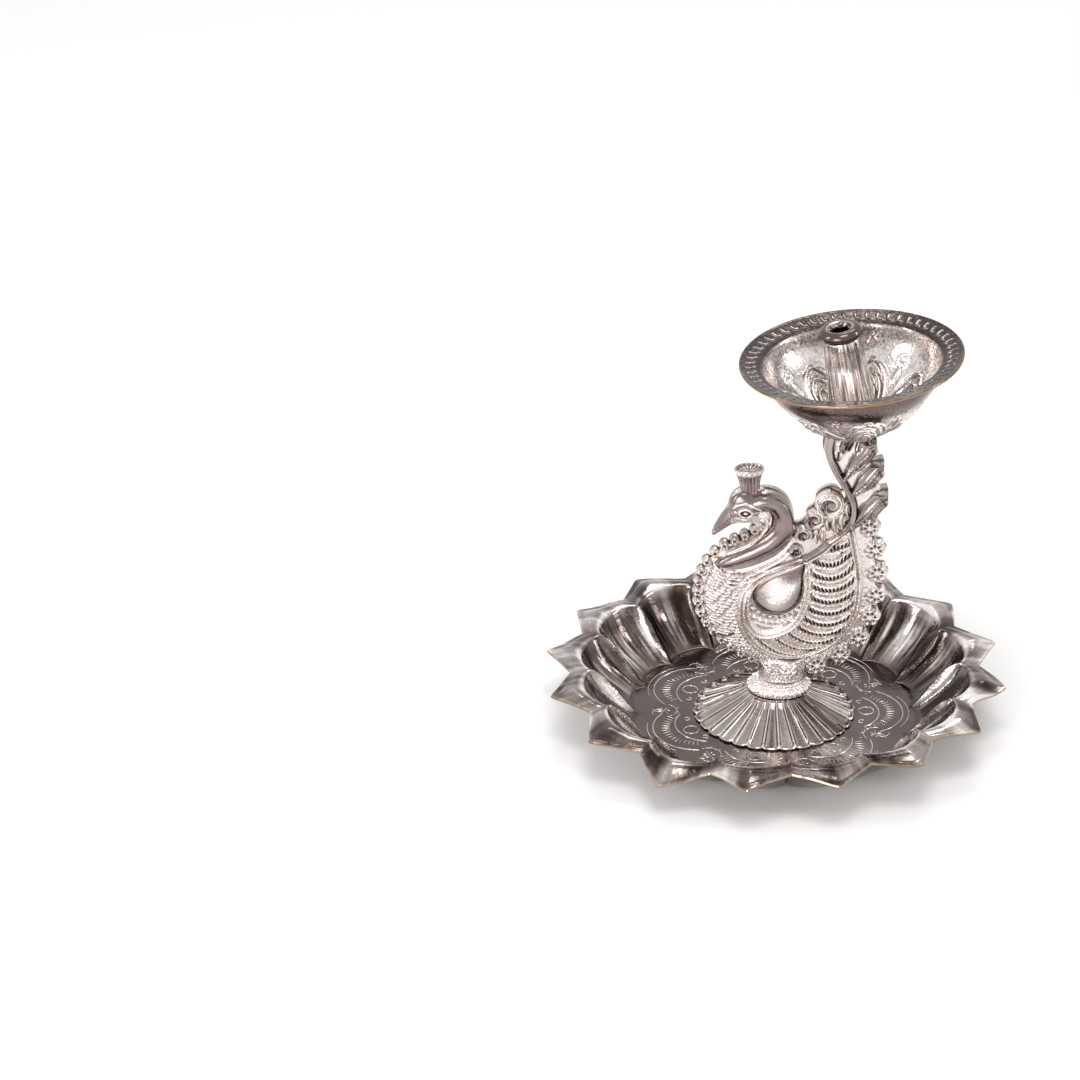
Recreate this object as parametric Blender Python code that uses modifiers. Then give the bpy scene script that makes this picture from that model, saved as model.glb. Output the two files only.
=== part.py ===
"""Peacock diya: a silver-plated oil lamp on a petalled tray.

The bird stands on a fluted cone in the middle of the tray and carries the oil cup on its raised tail.
+Z is up, the bird faces -X, and the origin is the tray's centre on the table. Sizes are in metres.
"""
import math

import bmesh
import bpy
from mathutils import Matrix, Vector

MM = 0.001

# Fits and sheet
FIT = 0.3 * MM                      # air between two pieces that touch
SHEET = 0.8 * MM                    # stamped sheet of the tray, cone, cup and wick tube

# Tray
PETALS = 16
PETAL_TURN = math.radians(13.5)     # direction of one petal tip
TIP_RADIUS = 63.5 * MM
NOTCH_RADIUS = 56.0 * MM
FLUTE_FOOT_RADIUS = 40.4 * MM       # where a petal's flute leaves the floor
RIDGE_FOOT_RADIUS = 38.2 * MM       # where the ridge between two petals leaves the floor
RIM_HEIGHT = 14.9 * MM
BENT_PETAL = math.radians(-121.5)   # one petal is pressed down, as the photographed one is
BENT_PETAL_DROP = 5.5 * MM
BENT_PETAL_SPREAD = math.radians(17.0)
PETAL_STEPS = 6                     # facets round one petal

# Fluted cone in the tray
CONE_FLUTES = 30
CONE_BASE_RADIUS = 21.9 * MM
CONE_TOP_RADIUS = 8.8 * MM
CONE_RISE = 7.0 * MM
FLUTE_DEPTH = 1.1 * MM

# Collar under the bird's foot
COLLAR_HEIGHT = 3.0 * MM
COLLAR_BASE_RADIUS = 8.8 * MM
COLLAR_TOP_RADIUS = 6.9 * MM
COLLAR_FLATNESS = 0.83              # depth over width
COLLAR_SHIFT = 1.2 * MM             # the collar stands this far behind its bore

# Foot screw with its washer and nut, and the thread that the cup screw shares
THREAD_RADIUS = 1.25 * MM
HEAD_RADIUS = 2.25 * MM
HEAD_HEIGHT = 1.5 * MM
HEAD_SEAT = 7.0 * MM                # height of the foot screw's head above the bird's foot
NUT_ACROSS_FLATS = 5.0 * MM
NUT_HEIGHT = 2.0 * MM
WASHER_RADIUS = 3.0 * MM
WASHER_THICKNESS = 0.5 * MM
THREAD_PAST_NUT = 0.6 * MM
BOSS_CLEARANCE = 1.2 * MM           # air round the washer inside the tray's boss

# Bird
SEAM = 0.3 * MM                     # air between the two half shells
BIRD_UNIT = 1.0 * MM                 # one unit of the bird's lists below
BIRD_WEB = 1.7 * MM                 # half thickness of the plate between the raised forms
BEAD_RADIUS = 1.6 * MM
BEAD_OUT = 0.8 * MM                  # a bead's middle from the seam
ROSETTE_RADIUS = 2.9 * MM
ROSETTE_OUT = 0.5 * MM
ROSETTE_RISE = 2.6 * MM
LEAF_OUT = 0.9 * MM
LEAF_RISE = 2.7 * MM
BULGE_RISE = 5.4 * MM
HEAD_RISE = 3.7 * MM
EYE_RISE = 0.9 * MM
EYE_OUT = 3.0 * MM
EYE_FRAME_OUT = 5.2 * MM
NECK_OUT = 1.6 * MM
BEAK_OUT = 0.2 * MM
SCROLL_OUT = 2.2 * MM
SCROLL_BAR = 0.8                      # radius of a scroll's bar, in bird units
TAIL_HEAD = (18.8 * MM, 70.8 * MM)    # middle and foot of the thick part under the cup
TAIL_HEAD_HALF_WIDTH = 5.4 * MM
TAIL_HEAD_HALF_DEPTH = 3.2 * MM
TAIL_HEAD_HEIGHT = 6.0 * MM
FOOT_CENTRE = 2.2 * MM
FOOT_HALF_WIDTH = 6.0 * MM
FOOT_HALF_DEPTH = 4.8 * MM
FOOT_BLOCK_HEIGHT = 10.5 * MM

# Crest on the head
CREST_PLACE = (-8.0 * MM, 58.3 * MM)    # middle of its seat on the head, from the bird's foot
CREST_HEIGHT = 6.1 * MM
CREST_TOP_RADIUS = 4.1 * MM
CREST_FOOT_RADIUS = 2.7 * MM
CREST_FLATNESS = 0.68               # depth over width
CREST_DISH = 1.2 * MM
CREST_FLUTES = 9
CREST_LEAN = math.radians(3.0)
CREST_PEG_RADIUS = 1.1 * MM
CREST_PEG_LENGTH = 2.4 * MM

# Oil cup and its seat on the tail
TAIL_TOP = (20.3 * MM, 74.3 * MM)   # middle of the tail's flat top, from the bird's foot
CUP_TILT = math.radians(5.0)        # the tail's top and the cup lean towards the bird's head
CUP_NOD = math.radians(1.2)         # the cup also leans back, away from the bird's left side
SEAT_RADIUS = 4.5 * MM
SEAT_HEIGHT = 1.6 * MM
CUP_RADIUS = 30.0 * MM
CUP_OPENING_RADIUS = 23.9 * MM
CUP_HEIGHT = 20.8 * MM
CUP_BORDER_RISE = 1.2 * MM
CUP_FLOOR_RADIUS = 8.0 * MM
CUP_ARCHES = 7
ARCH_TURN = math.radians(20.4)      # direction of one arch
ARCH_DEPTH = 0.7 * MM
ARCH_HALF_WIDTH = 5.3 * MM
ARCH_TOP = 0.78                       # an arch ends at this share of the bowl's width
CUP_SCREW_LENGTH = 8.0 * MM

# Wick tube
TUBE_LEAN = math.radians(5.2)       # the tube leans this much more than the cup
TUBE_LENGTH = 29.2 * MM
TUBE_FOOT_RADIUS = 6.5 * MM
TUBE_NECK_RADIUS = 5.3 * MM
TUBE_LIP_RADIUS = 5.8 * MM
TUBE_LIP_HEIGHT = 3.0 * MM
WICK_HOLE_RADIUS = 2.6 * MM

# Heights that follow from the sizes above
FLOOR_TOP = SHEET
CUTTER_REACH = 200 * MM               # a cutter that has to pass the whole object
CUTTER_SPARE = 1.0 * MM               # how far a cutter passes the face that it cuts
TAIL_TOP_CUT = (24 * MM, 30 * MM, 12 * MM)
TUBE_FOOT_CUT = (40 * MM, 40 * MM, 10 * MM)
TUBE_SPARE = 2.0 * MM                 # the tube is made this much longer, then trimmed square to the floor
CONE_FOOT_Z = FLOOR_TOP + FIT
CONE_TOP_Z = CONE_FOOT_Z + CONE_RISE
COLLAR_Z = CONE_TOP_Z + FIT
BIRD_Z = COLLAR_Z + COLLAR_HEIGHT + FIT
BOSS_TOP_Z = CONE_TOP_Z - SHEET - FIT
THREAD_BORE = THREAD_RADIUS + FIT

# Outline of the bird from its foot, in bird units: breast, beak, head, neck, scrolls, tail, rosettes
OUTLINE = [
    (-3.6, 0.0), (-3.9, 4.0), (-6.8, 5.5), (-10.0, 7.1), (-13.0, 9.2), (-16.3, 12.3), (-19.0, 15.9),
    (-21.0, 20.3), (-21.9, 25.3), (-21.7, 30.6), (-20.3, 35.5), (-17.8, 39.2), (-14.9, 41.6), (-11.4, 43.2),
    (-8.4, 44.4), (-6.4, 46.6), (-9.5, 47.0), (-12.0, 47.2), (-14.5, 45.8), (-16.9, 44.1), (-18.0, 44.8),
    (-16.6, 47.9), (-15.1, 50.5), (-13.3, 53.1), (-12.6, 55.7), (-11.2, 57.8), (-10.6, 58.3), (-5.4, 58.3),
    (-2.5, 58.0), (0.2, 57.0), (2.6, 54.7), (4.0, 51.3), (4.4, 48.5), (4.4, 46.6), (5.9, 47.5), (7.5, 48.6),
    (7.9, 51.8), (9.9, 53.3), (10.2, 56.3), (12.7, 58.5), (15.0, 58.9), (17.0, 57.9), (15.8, 60.3),
    (13.8, 63.9), (12.1, 68.9), (11.9, 72.4), (13.4, 76.0), (24.6, 76.0), (24.2, 72.0), (24.9, 69.8),
    (24.6, 66.0), (27.1, 65.3), (27.2, 61.3), (28.9, 57.3), (28.8, 52.3), (26.6, 48.9), (26.3, 45.3),
    (27.3, 40.3), (28.0, 33.0), (27.8, 26.3), (26.4, 19.3), (23.4, 12.7), (18.5, 6.9), (12.6, 3.6),
    (8.2, 2.6), (8.0, 0.0)]

# Raised forms in the same frame: x, z and, for a bar, its radius and how far out it lies
NECK = [(-7.0, 54.2, 2.6), (-3.0, 55.3, 2.9), (0.4, 53.6, 3.1), (1.6, 50.4, 3.2), (1.0, 46.4, 3.2),
        (-2.0, 42.8, 3.1), (-7.2, 39.5, 2.8), (-12.4, 37.4, 2.2), (-15.8, 36.4, 0.9)]
TAIL_BAND = [(13.5, 75.5, 1.3, 2.9), (12.8, 69.8, 1.3, 2.9), (14.8, 64.6, 1.2, 2.9), (17.6, 59.6, 1.1, 2.9),
             (19.9, 54.4, 1.0, 2.9), (19.9, 49.6, 1.0, 2.6), (17.4, 46.0, 1.0, 2.1), (12.0, 41.8, 1.0, 3.3),
             (5.6, 38.8, 1.0, 4.7), (-1.0, 36.5, 0.9, 5.2), (-6.4, 33.0, 0.8, 5.2), (-9.6, 27.4, 0.7, 5.0)]
BEAK = [(-11.0, 51.6, 2.6), (-14.4, 49.0, 1.7), (-17.4, 45.2, 0.5)]
WING = [(19.8, 48.6), (15.0, 44.4), (8.6, 40.4), (1.0, 37.6), (-5.8, 33.8), (-9.6, 28.6), (-10.4, 22.6),
        (-8.6, 15.8), (-4.0, 10.0), (3.0, 6.4), (11.0, 7.0), (17.0, 11.2), (21.4, 18.0), (23.4, 26.0),
        (23.4, 34.0), (21.8, 42.0)]
TEARDROP = [(6.9, 37.8), (0.4, 35.0), (-4.4, 32.4), (-6.6, 29.0), (-6.2, 25.4), (-2.6, 23.0), (2.0, 22.8),
            (5.8, 25.2), (7.0, 30.8)]
EYE_FRAME = [(8.0, 38.6, 0.8), (9.4, 32.4, 0.9), (9.0, 25.8, 0.9), (6.4, 20.0, 0.9), (2.0, 15.6, 0.9),
             (-2.8, 14.4, 0.9), (-6.8, 16.6, 0.9), (-9.2, 20.8, 0.8)]
BEAD_ROW = [(-3.7, 47.6), (-8.7, 43.9), (-14.6, 41.0), (-19.0, 36.0), (-21.1, 30.6), (-21.3, 24.0),
            (-18.9, 17.3), (-14.4, 11.6), (-9.4, 7.6), (-6.2, 6.1)]
BEADS = 18
ROSETTES = [(24.5, 47.2), (26.2, 40.4), (27.0, 33.2), (26.9, 26.4), (25.4, 19.4), (22.4, 12.8), (17.8, 7.7),
            (12.1, 4.6)]
SCROLLS = [(13.4, 54.7, 2.9), (9.6, 50.4, 2.3), (7.3, 45.4, 2.0), (5.2, 41.0, 1.9)]
LEAVES = [(19.4, 71.2, 4.6), (21.2, 66.4, 4.8), (22.4, 61.2, 5.4), (24.2, 55.8, 5.6), (24.6, 50.8, 4.4)]
LEAF_SLOPE = math.radians(42.0)
HEAD = (-8.6, 53.5, 4.75)
EYE = (-9.0, 52.3, 1.1)
BODY = (1.5, 26.3, 21.2)


def clear_scene():
    for old in list(bpy.data.objects):
        bpy.data.objects.remove(old, do_unlink=True)


def new_collection(name):
    collection = bpy.data.collections.new(name)
    bpy.context.scene.collection.children.link(collection)
    return collection


def new_material(name, colour, roughness):
    material = bpy.data.materials.new(name)
    material.use_nodes = True
    shader = material.node_tree.nodes["Principled BSDF"]
    shader.inputs["Base Color"].default_value = (*colour, 1.0)
    shader.inputs["Metallic"].default_value = 1.0
    shader.inputs["Roughness"].default_value = roughness
    material.diffuse_color = (*colour, 1.0)
    return material


def put(obj, collection, material=None, parent=None):
    """Links an object to one collection only, gives it a material and hangs it on a parent."""
    for other in list(obj.users_collection):
        other.objects.unlink(obj)
    collection.objects.link(obj)
    if material:
        obj.data.materials.clear()
        obj.data.materials.append(material)
        obj.data.shade_smooth()
        obj.data.set_sharp_from_angle(angle=math.radians(40))
    obj.parent = parent
    return obj


def guide(obj, collection, parent=None):
    """Makes an object a cutter or an operand, which doesn't show."""
    put(obj, collection, parent=parent)
    obj.hide_render = True
    obj.display_type = "WIRE"
    return obj


def evaluated_mesh(obj):
    """The object's mesh with its modifiers applied and its loose caps welded."""
    bpy.context.view_layer.update()
    graph = bpy.context.evaluated_depsgraph_get()
    mesh = bpy.data.meshes.new_from_object(obj.evaluated_get(graph), depsgraph=graph)
    body = bmesh.new()
    body.from_mesh(mesh)
    bmesh.ops.remove_doubles(body, verts=body.verts, dist=0.001 * MM)
    body.to_mesh(mesh)
    body.free()
    return mesh


def as_mesh(obj):
    """Replaces an object by a plain mesh object of the same form and place."""
    result = bpy.data.objects.new(obj.name, evaluated_mesh(obj))
    result.matrix_world = obj.matrix_world.copy()
    bpy.context.scene.collection.objects.link(result)
    bpy.data.objects.remove(obj, do_unlink=True)
    return result


def object_from(name, body):
    """A new object from a bmesh, with its faces pointing out."""
    bmesh.ops.recalc_face_normals(body, faces=body.faces)
    mesh = bpy.data.meshes.new(name)
    body.to_mesh(mesh)
    body.free()
    obj = bpy.data.objects.new(name, mesh)
    bpy.context.scene.collection.objects.link(obj)
    return obj


def turned(name, profile, steps, closed=True):
    """A profile of radius and height, going down its outer side first, turned round Z."""
    mesh = bpy.data.meshes.new(name)
    count = len(profile)
    edges = [(i, (i + 1) % count) for i in range(count if closed else count - 1)]
    mesh.from_pydata([(radius, 0.0, height) for radius, height in profile], edges, [])
    obj = bpy.data.objects.new(name, mesh)
    bpy.context.scene.collection.objects.link(obj)
    screw = obj.modifiers.new("Turn", "SCREW")
    screw.steps = steps
    screw.render_steps = steps
    screw.use_merge_vertices = True
    screw.merge_threshold = 0.01 * MM
    return obj


def cylinder(name, radius, height, sides=24, top_radius=None):
    """A cylinder or cone standing on its own origin."""
    body = bmesh.new()
    bmesh.ops.create_cone(body, cap_ends=True, segments=sides, radius1=radius,
                          radius2=radius if top_radius is None else top_radius, depth=height)
    bmesh.ops.translate(body, verts=body.verts, vec=(0.0, 0.0, height / 2))
    return object_from(name, body)


def box(name, size, centre):
    body = bmesh.new()
    bmesh.ops.create_cube(body, size=1.0)
    bmesh.ops.scale(body, verts=body.verts, vec=size)
    bmesh.ops.translate(body, verts=body.verts, vec=centre)
    return object_from(name, body)


def ball(name, centre, radii, segments, rings, turn=0.0):
    """A stretched sphere, turned about Y through its centre."""
    body = bmesh.new()
    bmesh.ops.create_uvsphere(body, u_segments=segments, v_segments=rings, radius=1.0)
    bmesh.ops.rotate(body, verts=body.verts, matrix=Matrix.Rotation(math.pi / 2, 3, "X"))
    bmesh.ops.scale(body, verts=body.verts, vec=radii)
    bmesh.ops.rotate(body, verts=body.verts, matrix=Matrix.Rotation(-turn, 3, "Y"))
    bmesh.ops.translate(body, verts=body.verts, vec=centre)
    return object_from(name, body)


def boolean(obj, operation, other):
    """Adds a Boolean with an object or a whole collection."""
    modifier = obj.modifiers.new(operation.title(), "BOOLEAN")
    modifier.operation = operation
    modifier.solver = "EXACT"
    if isinstance(other, bpy.types.Collection):
        modifier.operand_type = "COLLECTION"
        modifier.collection = other
    else:
        modifier.object = other


def thicken(obj, thickness):
    """Gives a sheet its thickness below its upper face."""
    solid = obj.modifiers.new("Sheet", "SOLIDIFY")
    solid.thickness = thickness
    solid.offset = -1.0
    solid.use_even_offset = True


def smooth_line(points, spans):
    """More points along a smooth line through the given ones."""
    result = []
    last = len(points) - 1
    for i in range(last):
        a, b, c, d = (points[min(max(i + k, 0), last)] for k in (-1, 0, 1, 2))
        for step in range(spans):
            t = step / spans
            result.append(tuple(
                0.5 * (2 * q + (r - p) * t + (2 * p - 5 * q + 4 * r - s) * t ** 2
                       + (3 * q - p - 3 * r + s) * t ** 3)
                for p, q, r, s in zip(a, b, c, d)))
    result.append(tuple(points[-1]))
    return result


def side_point(x, z, out=0.0):
    """A point on the bird's left side, from bird units in the bird's frame."""
    return Vector((x * BIRD_UNIT, -out, BIRD_Z + z * BIRD_UNIT))


def bar(name, line, out=None, sides=1):
    """A round bar along a line of x, z and radius, at a distance out from the seam, or each point's own."""
    curve = bpy.data.curves.new(name, "CURVE")
    curve.dimensions = "3D"
    curve.bevel_depth = BIRD_UNIT
    curve.bevel_resolution = sides
    curve.use_fill_caps = True
    spline = curve.splines.new("POLY")
    spline.points.add(len(line) - 1)
    for point, (x, z, radius, *own) in zip(spline.points, line):
        point.co = (*side_point(x, z, own[0] * BIRD_UNIT if own else out), 1.0)
        point.radius = radius
    obj = bpy.data.objects.new(name, curve)
    bpy.context.scene.collection.objects.link(obj)
    return as_mesh(obj)


def pillow(name, outline, rings):
    """A cushion on a flat outline: each ring is a scale about the middle and a distance out from the seam."""
    middle = side_point(sum(x for x, _ in outline) / len(outline), sum(z for _, z in outline) / len(outline))
    body = bmesh.new()
    face = body.faces.new([body.verts.new(side_point(x, z, -BIRD_UNIT)) for x, z in outline])
    last_scale = 1.0
    for number, (scale, out) in enumerate(rings):
        raised = bmesh.ops.extrude_face_region(body, geom=[face])["geom"]
        if number > 0:
            bmesh.ops.delete(body, geom=[face], context="FACES_ONLY")
        face = next(item for item in raised if isinstance(item, bmesh.types.BMFace))
        for vert in face.verts:
            vert.co = middle + (vert.co - middle) * (scale / last_scale)
            vert.co.y = -out
        last_scale = scale
    return object_from(name, body)


def plate(name, outline, half_thickness):
    """A flat plate of the bird's outline, standing on the seam."""
    curve = bpy.data.curves.new(name, "CURVE")
    curve.dimensions = "2D"
    curve.fill_mode = "BOTH"
    curve.extrude = half_thickness
    spline = curve.splines.new("POLY")
    spline.points.add(len(outline) - 1)
    spline.use_cyclic_u = True
    for point, (x, z) in zip(spline.points, outline):
        point.co = (x * BIRD_UNIT, z * BIRD_UNIT, 0.0, 1.0)
    obj = bpy.data.objects.new(name, curve)
    obj.rotation_euler = (math.pi / 2, 0.0, 0.0)
    obj.location = (0.0, 0.0, BIRD_Z)
    bpy.context.scene.collection.objects.link(obj)
    bpy.context.view_layer.update()
    return as_mesh(obj)


def petal_place(angle):
    """How far round its petal an angle lies: 0 at the tip, 1 at the notch."""
    turn = angle * PETALS / (2 * math.pi)
    return 2 * abs(turn - round(turn))


def straight_edge(place):
    """Radius of the petal's straight edge between its tip and its notch."""
    half = math.pi / PETALS
    angle = place * half
    return (TIP_RADIUS * NOTCH_RADIUS * math.sin(half)
            / (TIP_RADIUS * math.sin(angle) + NOTCH_RADIUS * math.sin(half - angle)))


def make_tray(parts, cutters, metal):
    """Petalled tray: a turned blank whose rings are drawn to the petals, with a boss under the cone."""
    rise = RIM_HEIGHT - FLOOR_TOP
    # each ring from the middle outwards: radius and height at the ridge, then at the middle of the petal
    rings = [
        (0.0, FLOOR_TOP, 0.0, FLOOR_TOP),
        (RIDGE_FOOT_RADIUS, FLOOR_TOP, FLUTE_FOOT_RADIUS, FLOOR_TOP),
        (RIDGE_FOOT_RADIUS + 3.2 * MM, FLOOR_TOP + 0.24 * rise,
         FLUTE_FOOT_RADIUS + 2.9 * MM, FLOOR_TOP + 0.17 * rise),
        (RIDGE_FOOT_RADIUS + 6.6 * MM, FLOOR_TOP + 0.54 * rise,
         FLUTE_FOOT_RADIUS + 6.2 * MM, FLOOR_TOP + 0.45 * rise),
        (RIDGE_FOOT_RADIUS + 10.0 * MM, FLOOR_TOP + 0.82 * rise,
         FLUTE_FOOT_RADIUS + 9.4 * MM, FLOOR_TOP + 0.76 * rise),
        (NOTCH_RADIUS - 5.0 * MM, RIM_HEIGHT - 1.0 * MM, NOTCH_RADIUS - 4.0 * MM, RIM_HEIGHT - 0.8 * MM),
        (NOTCH_RADIUS - 2.4 * MM, RIM_HEIGHT - 0.5 * MM, TIP_RADIUS - 6.0 * MM, RIM_HEIGHT - 0.3 * MM),
        (NOTCH_RADIUS, RIM_HEIGHT - 0.5 * MM, TIP_RADIUS, RIM_HEIGHT)]
    rim = len(rings) - 1
    blank = turned("tray", [ring[:2] for ring in rings], PETALS * PETAL_STEPS, closed=False)
    tray = as_mesh(blank)
    tray.name = "tray"
    body = bmesh.new()
    body.from_mesh(tray.data)
    centre = min(body.verts, key=lambda vert: math.hypot(vert.co.x, vert.co.y))
    bmesh.ops.dissolve_verts(body, verts=[centre])
    body.to_mesh(tray.data)
    body.free()
    for vert in tray.data.vertices:
        radius = math.hypot(vert.co.x, vert.co.y)
        angle = math.atan2(vert.co.y, vert.co.x)
        number = min(range(len(rings)), key=lambda k: abs(rings[k][0] - radius) + abs(rings[k][1] - vert.co.z))
        ridge_radius, ridge_height, middle_radius, middle_height = rings[number]
        place = petal_place(angle)
        share = 1.0 - place ** 2.2
        new_radius = ridge_radius + (middle_radius - ridge_radius) * share
        if number == rim:
            new_radius = straight_edge(place)
        elif number == rim - 1:
            new_radius = (new_radius + straight_edge(place) - 3.0 * MM) / 2
        vert.co.x = new_radius * math.cos(angle)
        vert.co.y = new_radius * math.sin(angle)
        vert.co.z = ridge_height + (middle_height - ridge_height) * share
        off = math.remainder(angle + PETAL_TURN - BENT_PETAL, 2 * math.pi) / BENT_PETAL_SPREAD
        reach = max(0.0, (new_radius - FLUTE_FOOT_RADIUS) / (TIP_RADIUS - FLUTE_FOOT_RADIUS))
        vert.co.z -= BENT_PETAL_DROP * reach ** 1.5 * math.exp(-off * off)
    thicken(tray, SHEET)
    tray.rotation_euler = (0.0, 0.0, PETAL_TURN)
    recess = WASHER_RADIUS + BOSS_CLEARANCE
    boss = guide(cylinder("boss", recess + SHEET, BOSS_TOP_Z - 0.5 * FLOOR_TOP), cutters)
    boss.location = (0.0, 0.0, 0.5 * FLOOR_TOP)
    hollow = guide(cylinder("boss_recess", recess, BOSS_TOP_Z - SHEET + CUTTER_SPARE), cutters)
    hollow.location = (0.0, 0.0, -CUTTER_SPARE)
    bore = guide(cylinder("boss_bore", THREAD_BORE, 2 * BOSS_TOP_Z), cutters)
    boolean(tray, "UNION", boss)
    boolean(tray, "DIFFERENCE", hollow)
    boolean(tray, "DIFFERENCE", bore)
    put(tray, parts, metal)


def make_cone(parts, metal):
    """Fluted cone: a turned sheet whose surface sinks between thirty narrow ridges."""
    foot = CONE_FOOT_Z + SHEET
    # each ring from the middle outwards: radius, height and how deep the flutes are there
    rings = [(THREAD_BORE, CONE_TOP_Z, 0.0), (CONE_TOP_RADIUS, CONE_TOP_Z, 0.0),
             (CONE_BASE_RADIUS - 0.8 * MM, foot + 0.9 * MM, 1.0), (CONE_BASE_RADIUS, foot, 0.0)]
    steps_in_flute = 3
    blank = turned("pedestal_cone", [ring[:2] for ring in rings], CONE_FLUTES * steps_in_flute, closed=False)
    cone = as_mesh(blank)
    cone.name = "pedestal_cone"
    for vert in cone.data.vertices:
        radius = math.hypot(vert.co.x, vert.co.y)
        turn = math.atan2(vert.co.y, vert.co.x) * CONE_FLUTES / (2 * math.pi)
        depth = min(rings, key=lambda ring: abs(ring[0] - radius))[2]
        if abs(turn - round(turn)) > 0.1:
            vert.co.z -= FLUTE_DEPTH * depth * radius / CONE_BASE_RADIUS
    thicken(cone, SHEET)
    put(cone, parts, metal)


def make_collar(parts, cutters, metal):
    """Oval collar, wide at its foot, with the bore for the foot screw."""
    flare = COLLAR_BASE_RADIUS - COLLAR_TOP_RADIUS
    profile = [(COLLAR_TOP_RADIUS, COLLAR_HEIGHT), (COLLAR_TOP_RADIUS - 0.2 * MM, 0.72 * COLLAR_HEIGHT),
               (COLLAR_TOP_RADIUS + 0.35 * flare, 0.5 * COLLAR_HEIGHT),
               (COLLAR_BASE_RADIUS, 0.34 * COLLAR_HEIGHT), (COLLAR_BASE_RADIUS, 0.0), (0.0, 0.0),
               (0.0, COLLAR_HEIGHT)]
    collar = as_mesh(turned("foot_collar", profile, 24))
    collar.name = "foot_collar"
    collar.data.transform(Matrix.Diagonal((1.0, COLLAR_FLATNESS, 1.0, 1.0)))
    collar.location = (COLLAR_SHIFT, 0.0, COLLAR_Z)
    bore = guide(cylinder("collar_bore", THREAD_BORE, 3 * COLLAR_HEIGHT), cutters)
    bore.location = (0.0, 0.0, COLLAR_Z - COLLAR_HEIGHT)
    boolean(collar, "DIFFERENCE", bore)
    put(collar, parts, metal)


def screw_profile(length):
    """Head and shank of a pan-head screw whose head rests at height 0."""
    dome = HEAD_HEIGHT * 0.35
    return [(0.0, HEAD_HEIGHT), (0.6 * HEAD_RADIUS, HEAD_HEIGHT), (HEAD_RADIUS, HEAD_HEIGHT - dome),
            (HEAD_RADIUS, 0.0), (THREAD_RADIUS, 0.0), (THREAD_RADIUS, -length), (0.0, -length)]


def make_foot_fastening(parts, steel):
    """Screw whose head is held in the bird's foot, with its washer and nut up inside the tray's boss."""
    washer_z = BOSS_TOP_Z - SHEET - FIT - WASHER_THICKNESS
    nut_z = washer_z - FIT - NUT_HEIGHT
    head_z = BIRD_Z + HEAD_SEAT + FIT
    screw = turned("foot_screw", screw_profile(head_z - nut_z + THREAD_PAST_NUT), 20)
    screw.location = (0.0, 0.0, head_z)
    put(screw, parts, steel)
    ring = [(WASHER_RADIUS, WASHER_THICKNESS), (WASHER_RADIUS, 0.0), (THREAD_BORE, 0.0),
            (THREAD_BORE, WASHER_THICKNESS)]
    washer = turned("foot_washer", ring, 24)
    washer.location = (0.0, 0.0, washer_z)
    put(washer, parts, steel)
    return nut_z


def make_nut(parts, cutters, steel, nut_z):
    nut = cylinder("foot_nut", NUT_ACROSS_FLATS / math.sqrt(3), NUT_HEIGHT, sides=6)
    nut.location = (0.0, 0.0, nut_z)
    bore = guide(cylinder("nut_bore", THREAD_BORE, 3 * NUT_HEIGHT), cutters)
    bore.location = (0.0, 0.0, nut_z - NUT_HEIGHT)
    boolean(nut, "DIFFERENCE", bore)
    put(nut, parts, steel)


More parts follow.
